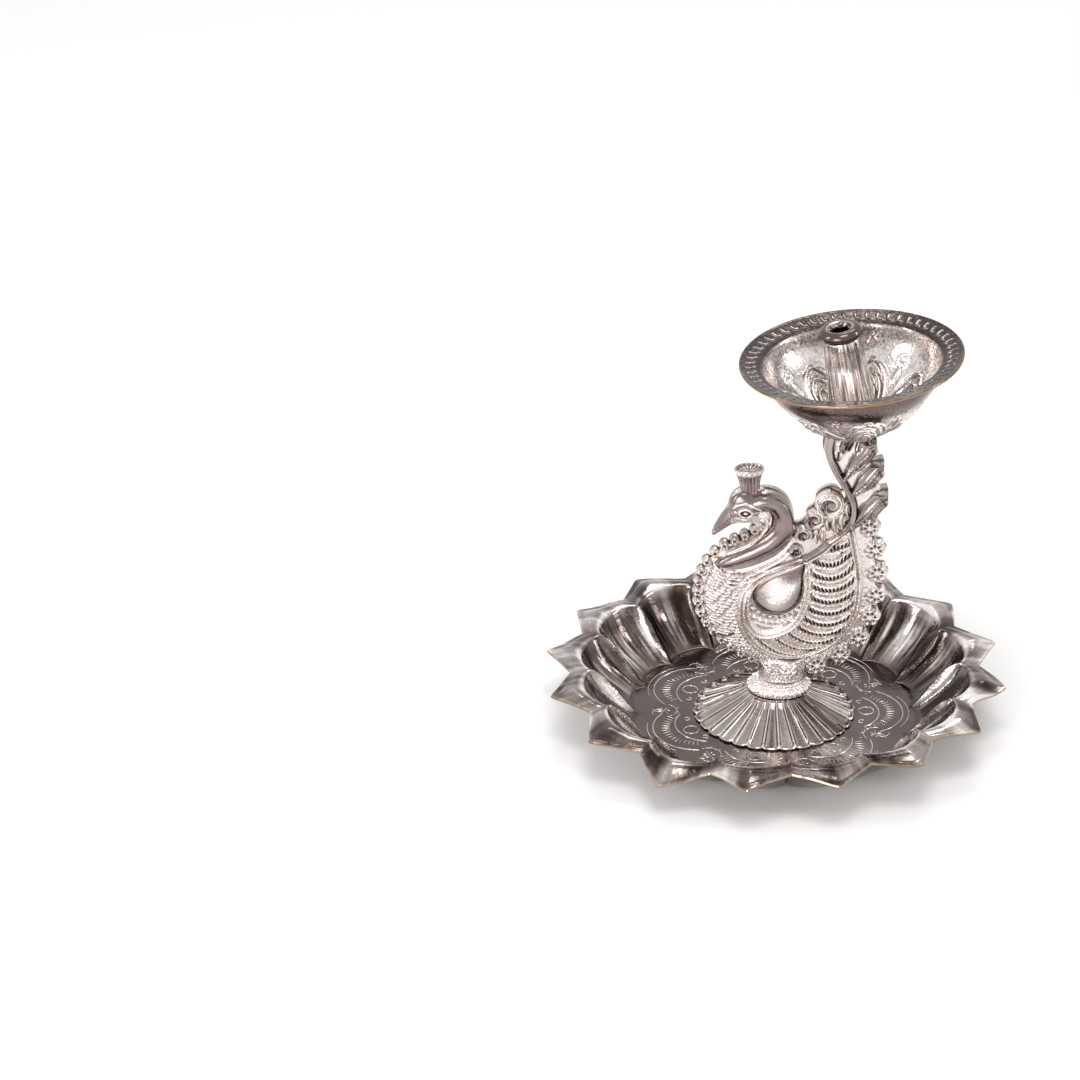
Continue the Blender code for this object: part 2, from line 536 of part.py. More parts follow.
def raised_forms(forms):
    """Every form that stands up from the bird's side, as operands of one union."""
    x, z, radius = BODY
    half = radius * BIRD_UNIT
    guide(ball("body_bulge", side_point(x, z), (half, BULGE_RISE, 0.96 * half), 18, 8), forms)
    guide(pillow("wing", WING, [(1.0, 2.9 * MM), (0.9, 4.6 * MM), (0.7, 5.7 * MM), (0.4, 6.3 * MM)]), forms)
    guide(pillow("teardrop", TEARDROP, [(1.0, 6.6 * MM), (0.88, 7.6 * MM), (0.5, 8.2 * MM)]), forms)
    guide(bar("eye_frame", EYE_FRAME, EYE_FRAME_OUT), forms)
    guide(bar("neck", smooth_line(NECK, 2), NECK_OUT, sides=2), forms)
    guide(bar("tail_band", TAIL_BAND), forms)
    guide(bar("beak", BEAK, BEAK_OUT, sides=2), forms)
    x, z, radius = HEAD
    half = radius * BIRD_UNIT
    guide(ball("head", side_point(x, z), (half, HEAD_RISE, half), 12, 6), forms)
    x, z, radius = EYE
    half = radius * BIRD_UNIT
    guide(ball("eye", side_point(x, z, EYE_OUT), (half, EYE_RISE, half), 8, 5), forms)
    for x, z, radius in SCROLLS:
        turns = [(x + radius * (1 - 0.12 * k) * math.cos(math.radians(150 - 60 * k)),
                  z + radius * (1 - 0.12 * k) * math.sin(math.radians(150 - 60 * k)), SCROLL_BAR)
                 for k in range(6)]
        guide(bar("scroll", turns, SCROLL_OUT, sides=0), forms)
    for x, z, length in LEAVES:
        half = length * BIRD_UNIT
        radii = (half, LEAF_RISE, 0.46 * half)
        guide(ball("leaf", side_point(x, z, LEAF_OUT), radii, 8, 4, turn=LEAF_SLOPE), forms)
    line = smooth_line(BEAD_ROW, 8)
    lengths = [0.0]
    for (x0, z0), (x1, z1) in zip(line, line[1:]):
        lengths.append(lengths[-1] + math.hypot(x1 - x0, z1 - z0))
    for k in range(BEADS):
        wanted = lengths[-1] * k / (BEADS - 1)
        x, z = line[min(range(len(line)), key=lambda i: abs(lengths[i] - wanted))]
        guide(ball("bead", side_point(x, z, BEAD_OUT), (BEAD_RADIUS,) * 3, 6, 4), forms)
    for x, z in ROSETTES:
        radii = (ROSETTE_RADIUS, ROSETTE_RISE, ROSETTE_RADIUS)
        guide(ball("rosette", side_point(x, z, ROSETTE_OUT), radii, 8, 4), forms)
    top = cylinder("tail_head", 1.0, TAIL_HEAD_HEIGHT, sides=16)
    top.data.transform(Matrix.Diagonal((TAIL_HEAD_HALF_WIDTH, TAIL_HEAD_HALF_DEPTH, 1.0, 1.0)))
    top.location = (TAIL_HEAD[0], 0.0, BIRD_Z + TAIL_HEAD[1])
    guide(top, forms)
    block = cylinder("foot_block", 1.0, FOOT_BLOCK_HEIGHT, sides=16)
    block.data.transform(Matrix.Diagonal((FOOT_HALF_WIDTH, FOOT_HALF_DEPTH, 1.0, 1.0)))
    block.location = (FOOT_CENTRE, 0.0, BIRD_Z)
    guide(block, forms)


def bird_cutters(cuts, tail_axis):
    """The seam, the foot screw's pocket and bore, the crest's socket, the tail's flat top and its hole."""
    half = box("seam", (CUTTER_REACH,) * 3, (0.0, (CUTTER_REACH - SEAM) / 2, BIRD_Z))
    guide(half, cuts)
    pocket = cylinder("head_pocket", HEAD_RADIUS + FIT, HEAD_HEIGHT + 2 * FIT)
    pocket.location = (0.0, 0.0, BIRD_Z + HEAD_SEAT)
    guide(pocket, cuts)
    bore = cylinder("foot_bore", THREAD_BORE, HEAD_SEAT + 2 * CUTTER_SPARE)
    bore.location = (0.0, 0.0, BIRD_Z - CUTTER_SPARE)
    guide(bore, cuts)
    socket = cylinder("crest_socket", CREST_PEG_RADIUS + FIT, 2 * (CREST_PEG_LENGTH + FIT), sides=16)
    socket.location = (CREST_PLACE[0], 0.0, BIRD_Z + CREST_PLACE[1] - CREST_PEG_LENGTH - FIT)
    guide(socket, cuts)
    top = box("tail_top_cut", TAIL_TOP_CUT, (0.0, 0.0, TAIL_TOP_CUT[2] / 2))
    guide(top, cuts, parent=tail_axis)
    hole = cylinder("tail_hole", THREAD_BORE, CUP_SCREW_LENGTH + 2 * CUTTER_SPARE)
    hole.location = (0.0, 0.0, SEAT_HEIGHT + SHEET - CUP_SCREW_LENGTH - CUTTER_SPARE)
    guide(hole, cuts, parent=tail_axis)


def make_bird(parts, forms, cuts, metal, tail_axis):
    """Two half shells that meet on the bird's middle plane."""
    left = plate("bird_shell_left", OUTLINE, BIRD_WEB)
    left.name = "bird_shell_left"
    raised_forms(forms)
    bird_cutters(cuts, tail_axis)
    boolean(left, "UNION", forms)
    boolean(left, "DIFFERENCE", cuts)
    put(left, parts, metal)
    mirrored = evaluated_mesh(left)
    mirrored.transform(left.matrix_world)
    mirrored.transform(Matrix.Scale(-1.0, 4, (0.0, 1.0, 0.0)))
    mirrored.flip_normals()
    right = bpy.data.objects.new("bird_shell_right", mirrored)
    put(right, parts, metal)


def make_crest(parts, metal):
    """Fluted crown with a dished top and a peg that sits in the head."""
    profile = [(0.0, CREST_HEIGHT - CREST_DISH), (CREST_TOP_RADIUS - 0.7 * MM, CREST_HEIGHT - 0.3 * MM),
               (CREST_TOP_RADIUS, CREST_HEIGHT), (CREST_TOP_RADIUS, CREST_HEIGHT - 1.0 * MM),
               (0.75 * CREST_TOP_RADIUS, 0.55 * CREST_HEIGHT), (CREST_FOOT_RADIUS, 0.0),
               (CREST_PEG_RADIUS, 0.0), (CREST_PEG_RADIUS, -CREST_PEG_LENGTH), (0.0, -CREST_PEG_LENGTH)]
    crest = as_mesh(turned("crest", profile, CREST_FLUTES * 3))
    crest.name = "crest"
    for vert in crest.data.vertices:
        radius = math.hypot(vert.co.x, vert.co.y)
        turn = math.atan2(vert.co.y, vert.co.x) * CREST_FLUTES / (2 * math.pi)
        if radius > CREST_PEG_RADIUS * 1.2 and abs(turn - round(turn)) < 0.1:
            vert.co.x *= 0.93
            vert.co.y *= 0.93
        if vert.co.z > -FIT and radius > CREST_PEG_RADIUS * 1.2:
            vert.co.y *= CREST_FLATNESS
    crest.location = (CREST_PLACE[0], 0.0, BIRD_Z + CREST_PLACE[1] + FIT)
    crest.rotation_euler = (0.0, -CREST_LEAN, 0.0)
    put(crest, parts, metal)


def cup_wall():
    """Upper face of the cup from its middle outwards: radius, height and share of the bowl's width."""
    border = CUP_HEIGHT - CUP_BORDER_RISE
    bowl = CUP_OPENING_RADIUS - CUP_FLOOR_RADIUS
    wall = [(CUP_FLOOR_RADIUS + share * bowl, rise * CUP_HEIGHT, share)
            for share, rise in ((0.12, 0.09), (0.25, 0.18), (0.39, 0.27), (0.55, 0.39), (0.71, 0.52))]
    return [(THREAD_BORE, SHEET, 0.0), (CUP_FLOOR_RADIUS - 0.8 * MM, SHEET, 0.0), *wall,
            (CUP_OPENING_RADIUS - 1.2 * MM, 0.72 * CUP_HEIGHT, 1.0),
            (CUP_OPENING_RADIUS, border - 0.6 * MM, 1.0), (CUP_OPENING_RADIUS + 0.4 * MM, border, 1.0),
            (CUP_RADIUS - 0.5 * MM, CUP_HEIGHT + 0.2 * MM, 1.0), (CUP_RADIUS, CUP_HEIGHT, 1.0)]


def arch_depth(angle, radius, share):
    """How deep an arch is embossed: full inside its round-topped outline, none outside."""
    pitch = 2 * math.pi / CUP_ARCHES
    turn = angle / pitch
    across = abs(turn - round(turn)) * pitch * radius
    up = min(share / ARCH_TOP, 1.0)
    inside = ARCH_HALF_WIDTH * math.sqrt(1.0 - up ** 2.8) - across
    return ARCH_DEPTH * min(max(inside / ARCH_DEPTH, 0.0), 1.0) * min(share / 0.1, 1.0)


def make_cup(parts, metal, cup_axis):
    """Flared cup with embossed arches round the lower half of its bowl."""
    rings = cup_wall()
    steps_in_arch = 12
    cup = as_mesh(turned("oil_cup", [ring[:2] for ring in rings], CUP_ARCHES * steps_in_arch, closed=False))
    cup.name = "oil_cup"
    for vert in cup.data.vertices:
        radius = math.hypot(vert.co.x, vert.co.y)
        share = min(rings, key=lambda ring: abs(ring[0] - radius) + abs(ring[1] - vert.co.z))[2]
        stretch = 1.0 + arch_depth(math.atan2(vert.co.y, vert.co.x), radius, share) / radius
        vert.co.x *= stretch
        vert.co.y *= stretch
    thicken(cup, SHEET)
    cup.data.transform(Matrix.Rotation(ARCH_TURN, 4, "Z"))
    cup.location = (0.0, 0.0, SEAT_HEIGHT + 2 * FIT)
    put(cup, parts, metal, parent=cup_axis)


def make_cup_fastening(parts, steel, metal, cup_axis):
    """Seat on the tail, and the screw and washer that hold the cup down on it."""
    ring = [(SEAT_RADIUS, SEAT_HEIGHT), (SEAT_RADIUS + 0.4 * MM, 0.5 * SEAT_HEIGHT), (SEAT_RADIUS, 0.0),
            (THREAD_BORE, 0.0), (THREAD_BORE, SEAT_HEIGHT)]
    seat = turned("cup_seat", ring, 24)
    seat.location = (0.0, 0.0, FIT)
    put(seat, parts, metal, parent=cup_axis)
    floor = SEAT_HEIGHT + 2 * FIT + SHEET
    flat = [(WASHER_RADIUS, WASHER_THICKNESS), (WASHER_RADIUS, 0.0), (THREAD_BORE, 0.0),
            (THREAD_BORE, WASHER_THICKNESS)]
    washer = turned("cup_washer", flat, 24)
    washer.location = (0.0, 0.0, floor + FIT)
    put(washer, parts, steel, parent=cup_axis)
    screw = turned("cup_screw", screw_profile(CUP_SCREW_LENGTH), 20)
    screw.location = (0.0, 0.0, floor + 2 * FIT + WASHER_THICKNESS)
    put(screw, parts, steel, parent=cup_axis)
    return floor


def make_wick_tube(parts, cutters, metal, cup_axis, floor):
    """Tapered tube with a rolled lip, cut at its foot to stand on the cup's floor."""
    neck_z = TUBE_LENGTH - TUBE_LIP_HEIGHT
    profile = [(WICK_HOLE_RADIUS, TUBE_LENGTH - 0.9 * MM), (WICK_HOLE_RADIUS + 0.9 * MM, TUBE_LENGTH - 0.1 * MM),
               (TUBE_LIP_RADIUS - 1.3 * MM, TUBE_LENGTH), (TUBE_LIP_RADIUS - 0.3 * MM, TUBE_LENGTH - 0.6 * MM),
               (TUBE_LIP_RADIUS, TUBE_LENGTH - 0.5 * TUBE_LIP_HEIGHT),
               (TUBE_LIP_RADIUS - 0.2 * MM, neck_z + 0.5 * MM), (TUBE_NECK_RADIUS, neck_z),
               (TUBE_FOOT_RADIUS, -TUBE_SPARE), (TUBE_FOOT_RADIUS - SHEET, -TUBE_SPARE),
               (TUBE_NECK_RADIUS - SHEET, neck_z), (TUBE_NECK_RADIUS - SHEET, TUBE_LENGTH - 1.9 * MM),
               (WICK_HOLE_RADIUS, TUBE_LENGTH - 1.7 * MM)]
    tube = turned("wick_tube", profile, 28)
    tube.location = (0.0, 0.0, floor + FIT)
    tube.rotation_euler = (0.0, -TUBE_LEAN, 0.0)
    trim = box("tube_foot_cut", TUBE_FOOT_CUT, (0.0, 0.0, floor + FIT - TUBE_FOOT_CUT[2] / 2))
    guide(trim, cutters, parent=cup_axis)
    boolean(tube, "DIFFERENCE", trim)
    put(tube, parts, metal, parent=cup_axis)


def build():
    clear_scene()
    parts = new_collection("peacock_diya")
    cutters = new_collection("cutters")
    forms = new_collection("bird_forms")
    cuts = new_collection("bird_cuts")
    bright = new_material("polished_silver_plate", (0.80, 0.77, 0.75), 0.10)
    satin = new_material("satin_silver_plate", (0.86, 0.83, 0.80), 0.32)
    steel = new_material("plain_steel", (0.55, 0.54, 0.52), 0.35)

    tail_axis = bpy.data.objects.new("tail_axis", None)
    tail_axis.location = (TAIL_TOP[0], 0.0, BIRD_Z + TAIL_TOP[1])
    tail_axis.rotation_euler = (0.0, -CUP_TILT, 0.0)
    parts.objects.link(tail_axis)
    cup_axis = bpy.data.objects.new("cup_axis", None)
    cup_axis.parent = tail_axis
    cup_axis.rotation_euler = (-CUP_NOD, 0.0, 0.0)
    parts.objects.link(cup_axis)

    make_tray(parts, cutters, bright)
    make_cone(parts, bright)
    make_collar(parts, cutters, satin)
    nut_z = make_foot_fastening(parts, steel)
    make_nut(parts, cutters, steel, nut_z)
    make_bird(parts, forms, cuts, satin, tail_axis)
    make_crest(parts, satin)
    make_cup(parts, bright, cup_axis)
    floor = make_cup_fastening(parts, steel, bright, cup_axis)
    make_wick_tube(parts, cutters, bright, cup_axis, floor)


build()
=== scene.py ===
import math

import bmesh
import bpy
import numpy as np
from mathutils import Matrix, Vector
from mathutils.geometry import delaunay_2d_cdt


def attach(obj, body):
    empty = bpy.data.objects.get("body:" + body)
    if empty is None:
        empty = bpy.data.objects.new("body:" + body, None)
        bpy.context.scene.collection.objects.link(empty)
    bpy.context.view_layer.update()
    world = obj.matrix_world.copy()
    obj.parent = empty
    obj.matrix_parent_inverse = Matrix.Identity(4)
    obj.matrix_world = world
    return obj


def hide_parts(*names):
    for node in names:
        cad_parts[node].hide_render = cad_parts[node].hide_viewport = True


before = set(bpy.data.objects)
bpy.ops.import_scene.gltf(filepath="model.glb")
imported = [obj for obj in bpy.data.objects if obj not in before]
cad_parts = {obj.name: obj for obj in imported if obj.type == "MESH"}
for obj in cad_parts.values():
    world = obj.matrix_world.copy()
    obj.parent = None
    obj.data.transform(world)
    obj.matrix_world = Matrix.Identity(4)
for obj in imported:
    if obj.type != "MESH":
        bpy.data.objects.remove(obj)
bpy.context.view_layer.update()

MM = 0.001
TAU = 2 * math.pi
LAMP = "lamp"
TUBE = "wick_tube"

# Sizes in millimetres, as the frame has them
SHEET = 0.8
BIRD_Z = 11.7
PETALS = 16
PETAL_TURN = math.radians(13.5)
TIP, NOTCH, RIM_Z = 63.5, 56.0, 14.9
FLOOR_RADII = (1.8, 12.0, 19.0, 21.0, 23.0, 25.0, 27.0, 29.0, 31.0, 34.0)
# The tray floor's tone, lower than the petals': a painted, darker reflection
FLOOR_TONE = 0.27
FLUTE_FOOT, FOOT_SCALLOP, FLUTE_ROWS = 40.2, 2.4, 40
ARCH_FOOT, ARCH_RISE, BRIM_Z = 49.2, 4.0, 14.1
REACH_START, TRAY_WAVES = 40.4, 14
FANS = 7
BENT_PETAL, BENT_DROP, BENT_SPREAD = math.radians(-121.5), 5.5, math.radians(17.0)
# Colours of the plate's tone from deepest to palest; the tone carries painted shade, painted highlights and
# painted reflections as well as tarnish
TONES = [(0.0, (0.035, 0.026, 0.023)), (0.35, (0.15, 0.117, 0.109)), (0.68, (0.42, 0.368, 0.35)),
         (1.0, (0.90, 0.85, 0.82))]
BRASS = (0.46, 0.30, 0.15)
CONE_TOP, CONE_RIM, CONE_TOP_Z, CONE_FOOT_Z = 8.0, 22.0, 8.1, 1.6
# The second value is the turn at which the cone's flutes carry a painted, darker reflection
CONE_FLUTES, DARK_REFLECTION_TURN = 30, math.radians(-38)


# Meshes

def grid_quads(rows, cols, wrap_rows=False, wrap_cols=False):
    """Faces of a grid of points that runs row by row."""
    r, c = np.mgrid[0:rows if wrap_rows else rows - 1, 0:cols if wrap_cols else cols - 1]
    r2, c2 = (r + 1) % rows, (c + 1) % cols
    return np.stack([r * cols + c, r * cols + c2, r2 * cols + c2, r2 * cols + c], -1).reshape(-1, 4)


def add_object(name, data):
    obj = bpy.data.objects.new(name, data)
    bpy.context.scene.collection.objects.link(obj)
    return obj


def new_mesh(name, points, faces):
    """An object from points in millimetres and quads."""
    mesh = bpy.data.meshes.new(name)
    points = np.asarray(points, float).reshape(-1, 3)
    mesh.vertices.add(len(points))
    mesh.vertices.foreach_set("co", (points * MM).ravel())
    faces = np.asarray(faces)
    mesh.loops.add(faces.size)
    mesh.loops.foreach_set("vertex_index", faces.ravel())
    mesh.polygons.add(len(faces))
    mesh.polygons.foreach_set("loop_start", np.arange(len(faces)) * faces.shape[1])
    mesh.polygons.foreach_set("loop_total", np.full(len(faces), faces.shape[1]))
    mesh.update(calc_edges=True)
    mesh.validate()
    return add_object(name, mesh)


def smooth(obj, angle=40.0):
    """Smooth shading, with edges sharper than the angle kept."""
    obj.data.shade_smooth()
    obj.data.set_sharp_from_angle(angle=math.radians(angle))
    return obj


def add_values(obj, name, values):
    """A named number for every point, which the material reads."""
    layer = obj.data.attributes.new(name, "FLOAT", "POINT")
    layer.data.foreach_set("value", np.asarray(values, np.float32).ravel())


def dress(obj, material, body, slot, *nodes):
    """Gives a piece its material, its body and the nodes that it stands for."""
    obj.data.materials.clear()
    obj.data.materials.append(material)
    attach(obj, body)
    if nodes:
        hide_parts(*nodes)
    return obj


def unit(vectors):
    return vectors / np.maximum(np.linalg.norm(vectors, axis=-1, keepdims=True), 1e-9)


def sheet_piece(name, top, thickness, rim=0.35):
    """A closed sheet under a grid of points that goes round the axis, rows from the middle outwards."""
    along = np.roll(top, -1, 1) - np.roll(top, 1, 1)
    normal = unit(np.cross(np.gradient(top, axis=0), along))
    if normal[..., 2].mean() < 0:
        normal = -normal
    bottom = top - normal * thickness
    edge = (top[-1] + bottom[-1]) / 2 + unit(top[-1] - top[-2]) * rim * thickness
    inner = (top[0] + bottom[0]) / 2 + unit(top[0] - top[1]) * 0.1 * thickness
    points = np.concatenate([top, edge[None], bottom[::-1], inner[None]])
    return fix_normals(new_mesh(name, points, grid_quads(*points.shape[:2], True, True)))


def sheet_values(values, rim, inner, under=None):
    """One number for each point of sheet_piece, from those of its top face."""
    below = values if under is None else under + np.zeros(values.shape)
    edge, middle = (np.full((1, values.shape[1]), float(number)) for number in (rim, inner))
    return np.concatenate([values, edge, below[::-1], middle])


def set_finish(obj, shine, tint_and_shade):
    """Where the frosted plate is polished, and where its hollows take a golden tint and, deeper in, painted
    shade.
    """
    add_values(obj, "shine", shine)
    add_values(obj, "tint_and_shade", tint_and_shade)


def set_tone(obj, tone, bare=0.0):
    """How bright the plate is at each point, and how far the brass shows through it."""
    count = len(obj.data.vertices)
    for name, values in (("tone", tone), ("bare", bare)):
        values = np.asarray(values, float)
        add_values(obj, name, np.full(count, float(values)) if values.ndim == 0 else values)


def fix_normals(obj, change=None):
    """Turns all faces of a piece outwards, after a change to its mesh where there is one."""
    body = bmesh.new()
    body.from_mesh(obj.data)
    if change:
        change(body)
    bmesh.ops.recalc_face_normals(body, faces=body.faces)
    body.to_mesh(obj.data)
    body.free()
    return obj


def turn_steps(count):
    """Angles in even steps once round."""
    return np.arange(count) / count * TAU


def around(radius, angle, height):
    """Points at a radius, an angle and a height about the upright axis."""
    return np.stack([radius * np.cos(angle), radius * np.sin(angle), height], -1)


def turned(name, profile, cols=96, wave=None):
    """A closed ring of a profile of radius and height; wave changes the points' radius and height."""
    profile = np.asarray(profile, float)
    angle = turn_steps(cols)
    radius = np.repeat(profile[:, :1], cols, 1)
    height = np.repeat(profile[:, 1:2], cols, 1)
    if wave:
        radius, height = wave(radius, height, angle[None, :] + 0 * radius)
    faces = grid_quads(len(profile), cols, True, True)
    return fix_normals(new_mesh(name, around(radius, angle, height), faces))


def spline(points, spans, closed=False):
    """More points along a smooth line through the given ones."""
    points = np.asarray(points, float)
    n = len(points)
    result = []
    for i in range(n if closed else n - 1):
        index = [(i + k) % n if closed else min(max(i + k, 0), n - 1) for k in (-1, 0, 1, 2)]
        p, q, r, s = points[index]
        for step in range(spans):
            t = step / spans
            result.append(0.5 * (2 * q + (r - p) * t + (2 * p - 5 * q + 4 * r - s) * t ** 2
                                 + (3 * q - p - 3 * r + s) * t ** 3))
    if not closed:
        result.append(points[-1])
    return np.array(result)


def step_between(low, high, value):
    """A smooth step from 0 at the first value to 1 at the second."""
    t = np.clip((value - low) / (high - low), 0.0, 1.0)
    return t * t * (3 - 2 * t)


def bell(value, middle, width):
    """1 at the middle, falling off smoothly to both sides."""
    return np.exp(-((value - middle) / width) ** 2)


def dome(share):
    """A round dome: 1 at its middle, 0 where the share is 1 or more."""
    return np.sqrt(np.maximum(0.0, 1 - share ** 2))


def lengths_along(line):
    """How far along a line each of its points is."""
    return np.concatenate([[0], np.cumsum(np.linalg.norm(np.diff(line[:, :2], axis=0), axis=1))])


def resample(line, gap):
    """Points a fixed gap apart along a dense line."""
    lengths = lengths_along(line)
    count = max(2, int(round(lengths[-1] / gap)) + 1)
    wanted = np.linspace(0, lengths[-1], count)
    return np.stack([np.interp(wanted, lengths, line[:, k]) for k in range(line.shape[1])], -1)


# Tray

def petal_share(angle):
    """0 at a petal's middle and 1 at the notch."""
    turn = (angle - PETAL_TURN) * PETALS / TAU
    return 2 * np.abs(turn - np.round(turn))


def tray_edges(share):
    """Radius of a flute's foot, of the arch where its petal starts, and of the pointed edge."""
    half = math.pi / PETALS
    edge = TIP * NOTCH * math.sin(half) / (TIP * np.sin(share * half) + NOTCH * np.sin(half - share * half))
    foot = FLUTE_FOOT - FOOT_SCALLOP * share ** 3
    arch = ARCH_FOOT + ARCH_RISE * np.sqrt(np.maximum(0.0, 1 - share ** 2.2))
    return foot, arch, edge - 0.35 * bell(share, 0, 0.05)


def tray_surface(cols_in_petal=48):
    """The tray's upper face and its tone: floor, scooped flutes, rounded ridges and pointed petals, with
    painted shade, painted highlights and painted reflection streaks in the tone.
    """
    cols = PETALS * cols_in_petal
    angle = PETAL_TURN + turn_steps(cols)
    share = petal_share(angle)
    foot, arch, edge = tray_edges(share)
    rng = np.random.default_rng(7)
    streak = rng.normal(0, 1, cols)
    streak = (streak + np.roll(streak, 1) + 0.6 * np.roll(streak, 2)) / 1.6
    broad = sum(np.roll(streak, k) for k in range(-5, 6)) / 4.0
    # Noise for the painted reflection streaks down the flute walls
    streak_noise = rng.normal(0, 1, (FLUTE_ROWS + 1, cols))
    reflection_streaks = sum(np.roll(streak_noise, k, axis=0) + np.roll(streak_noise, (k, 1), axis=(0, 1)) for k in range(14)) / 5.3
    half_petal = np.floor((angle - PETAL_TURN) * PETALS / math.pi).astype(int)
    lively = 0.7 + 0.5 * rng.random(2 * PETALS)[half_petal]
    rows = [(np.full(cols, t), np.full(cols, SHEET), np.full(cols, FLOOR_TONE)) for t in FLOOR_RADII]
    for t in np.linspace(0.93, 1.0, 4):
        # Painted shade: a darker line where the floor meets the foot of the flutes
        rows.append((foot * t, np.full(cols, SHEET), FLOOR_TONE - 0.12 * (t > 0.97) + 0 * share))
    # Where the painted highlights run, beside each ridge and over its top
    beside, crown = bell(share, 0.80, 0.07), bell(share, 1.0, 0.10)
    for step, t in enumerate(np.linspace(0, 1, FLUTE_ROWS)[1:]):
        wall = math.sin(math.pi * t)
        rise = 0.10 * t + 0.90 * (0.62 * t ** 1.15 + 0.38 * step_between(0.0, 1.0, t))
        spoon = 1.0 - 0.27 * math.sin(math.pi * t ** 1.3) * (1 - share ** 2.2)
        height = SHEET + (BRIM_Z - SHEET) * rise * spoon + 0.95 * crown * wall ** 0.8
        height = height + 0.055 * streak * wall * (1 - crown)
        # Flute walls: painted shade just below the brim and in a band down each flute, painted highlights
        # beside and on the ridges, and painted reflection streaks
        tone = 0.31 + 0.12 * t - 0.25 * bell(t, 0.88, 0.08) * (1 - share ** 2)
        tone = tone + wall * (lively * (0.62 * beside + 0.50 * crown) - 0.26 * bell(share, 0.58, 0.09))
        tone = tone + wall * (0.26 * streak + 0.20 * broad + 0.13 * reflection_streaks[step])
        rows.append((foot + (arch - foot) * t, height, tone))
    for t in np.linspace(0, 1, 26)[1:]:
        roll = 0.85 * math.sin(math.pi * min(1.0, 0.12 + t * 1.15)) * (1 - 0.55 * share)
        crease = 0.55 * math.sin(math.pi * min(1.0, t * 1.25)) * np.maximum(0, 1 - share * 2.2)
        droop = 0.75 * t ** 2.2 * (1 - 0.6 * share)
        height = BRIM_Z + (RIM_Z - BRIM_Z) * (0.3 + 0.3 * t) + roll + crease - droop
        # Petals: a painted highlight on the roll past the arch, lighter towards the outer edge near the
        # notches, and a painted highlight along the very edge
        tone = 0.46 + 0.44 * bell(t, 0.12, 0.10) * (1 - 0.5 * share) + 0.16 * t ** 2 * share
        tone = tone + 0.10 * bell(share, 0, 0.10) - 0.16 * crown * (1 - t) + 0.14 * broad
        rows.append((arch + (edge - arch) * t, height, tone + 0.16 * bell(t, 0.97, 0.03)))
    radius, height, tone = (np.array([row[k] for row in rows]) for k in range(3))
    reach = np.maximum(0.0, (radius - REACH_START) / (TIP - REACH_START))
    off = np.remainder(angle - BENT_PETAL + math.pi, TAU) - math.pi
    height = height - BENT_DROP * reach ** 1.5 * bell(off, 0, BENT_SPREAD)
    for _ in range(TRAY_WAVES):
        k, phase, size = rng.integers(3, 34), rng.uniform(0, TAU), rng.uniform(0.04, 0.13)
        wave = np.sin(k * angle + phase + 4 * reach)
        height = height + size * reach * wave
        # Painted light and shade that follow the sheet's waves
        tone = tone + 0.45 * size * wave * (reach > 0)
    return around(radius, angle, height), np.clip(tone_with_painted_glare(tone, angle, radius, reach, rng), 0.02, 1.0)


def tone_with_painted_glare(tone, angle, radius, reach, rng):
    """The tray's tone with random patches on the petals, and a painted bright reflection, streaked, on the
    floor and flute walls before the cone.
    """
    patches = 17 * blurred(rng.normal(0, 1, tone.shape), 8)
    tone = tone + 0.10 * patches * step_between(0.35, 0.55, reach)
    # Painted reflection: a bright streaked patch on the near side of the tray, before the cone
    front = np.exp(-((np.remainder(angle + 1.45 * math.pi, TAU) - math.pi) / 0.62) ** 4)
    painted_glare = front * step_between(20.0, 24.0, radius) * step_between(0.60, 0.40, reach)
    glare_grain = 3 * blurred(rng.normal(0, 1, tone.shape), 1)
    return tone + painted_glare * (0.48 + 0.06 * patches + 0.07 * glare_grain)


def line_tube(points, radius, sides=6):
    """Points and quads of a thin tube along a line in space."""
    points = np.asarray(points, float)
    ahead = unit(np.gradient(points, axis=0))
    side = unit(np.cross(ahead, [0, 0, 1.0]))
    up = np.cross(side, ahead)
    n = len(points)
    size = np.full(n, radius)
    size[0] = size[-1] = radius * 0.35
    turn = turn_steps(sides)
    rings = (points[:, None] + size[:, None, None] * (np.cos(turn)[None, :, None] * side[:, None]
                                                      + 0.8 * np.sin(turn)[None, :, None] * up[:, None]))
    return rings.reshape(-1, 3), grid_quads(n, sides, False, True), sides


def tubes_piece(name, lines):
    """One mesh of many thin tubes with closed ends: each line is its points and its radius."""
    def add_tubes(body):
        for points, radius in lines:
            coords, quads, sides = line_tube(points, radius)
            verts = [body.verts.new(tuple(co * MM)) for co in coords]
            for quad in quads:
                body.faces.new([verts[i] for i in quad])
            body.faces.new(verts[:sides][::-1])
            body.faces.new(verts[-sides:])

    return smooth(fix_normals(add_object(name, bpy.data.meshes.new(name)), add_tubes), 60)


def arc_line(centre, radius, start, end, steps=24, squash=1.0):
    """Points of a flat arc between two angles in degrees."""
    angle = np.radians(np.linspace(start, end, steps))
    return np.stack([centre[0] + radius * np.cos(angle), centre[1] + squash * radius * np.sin(angle)], -1)


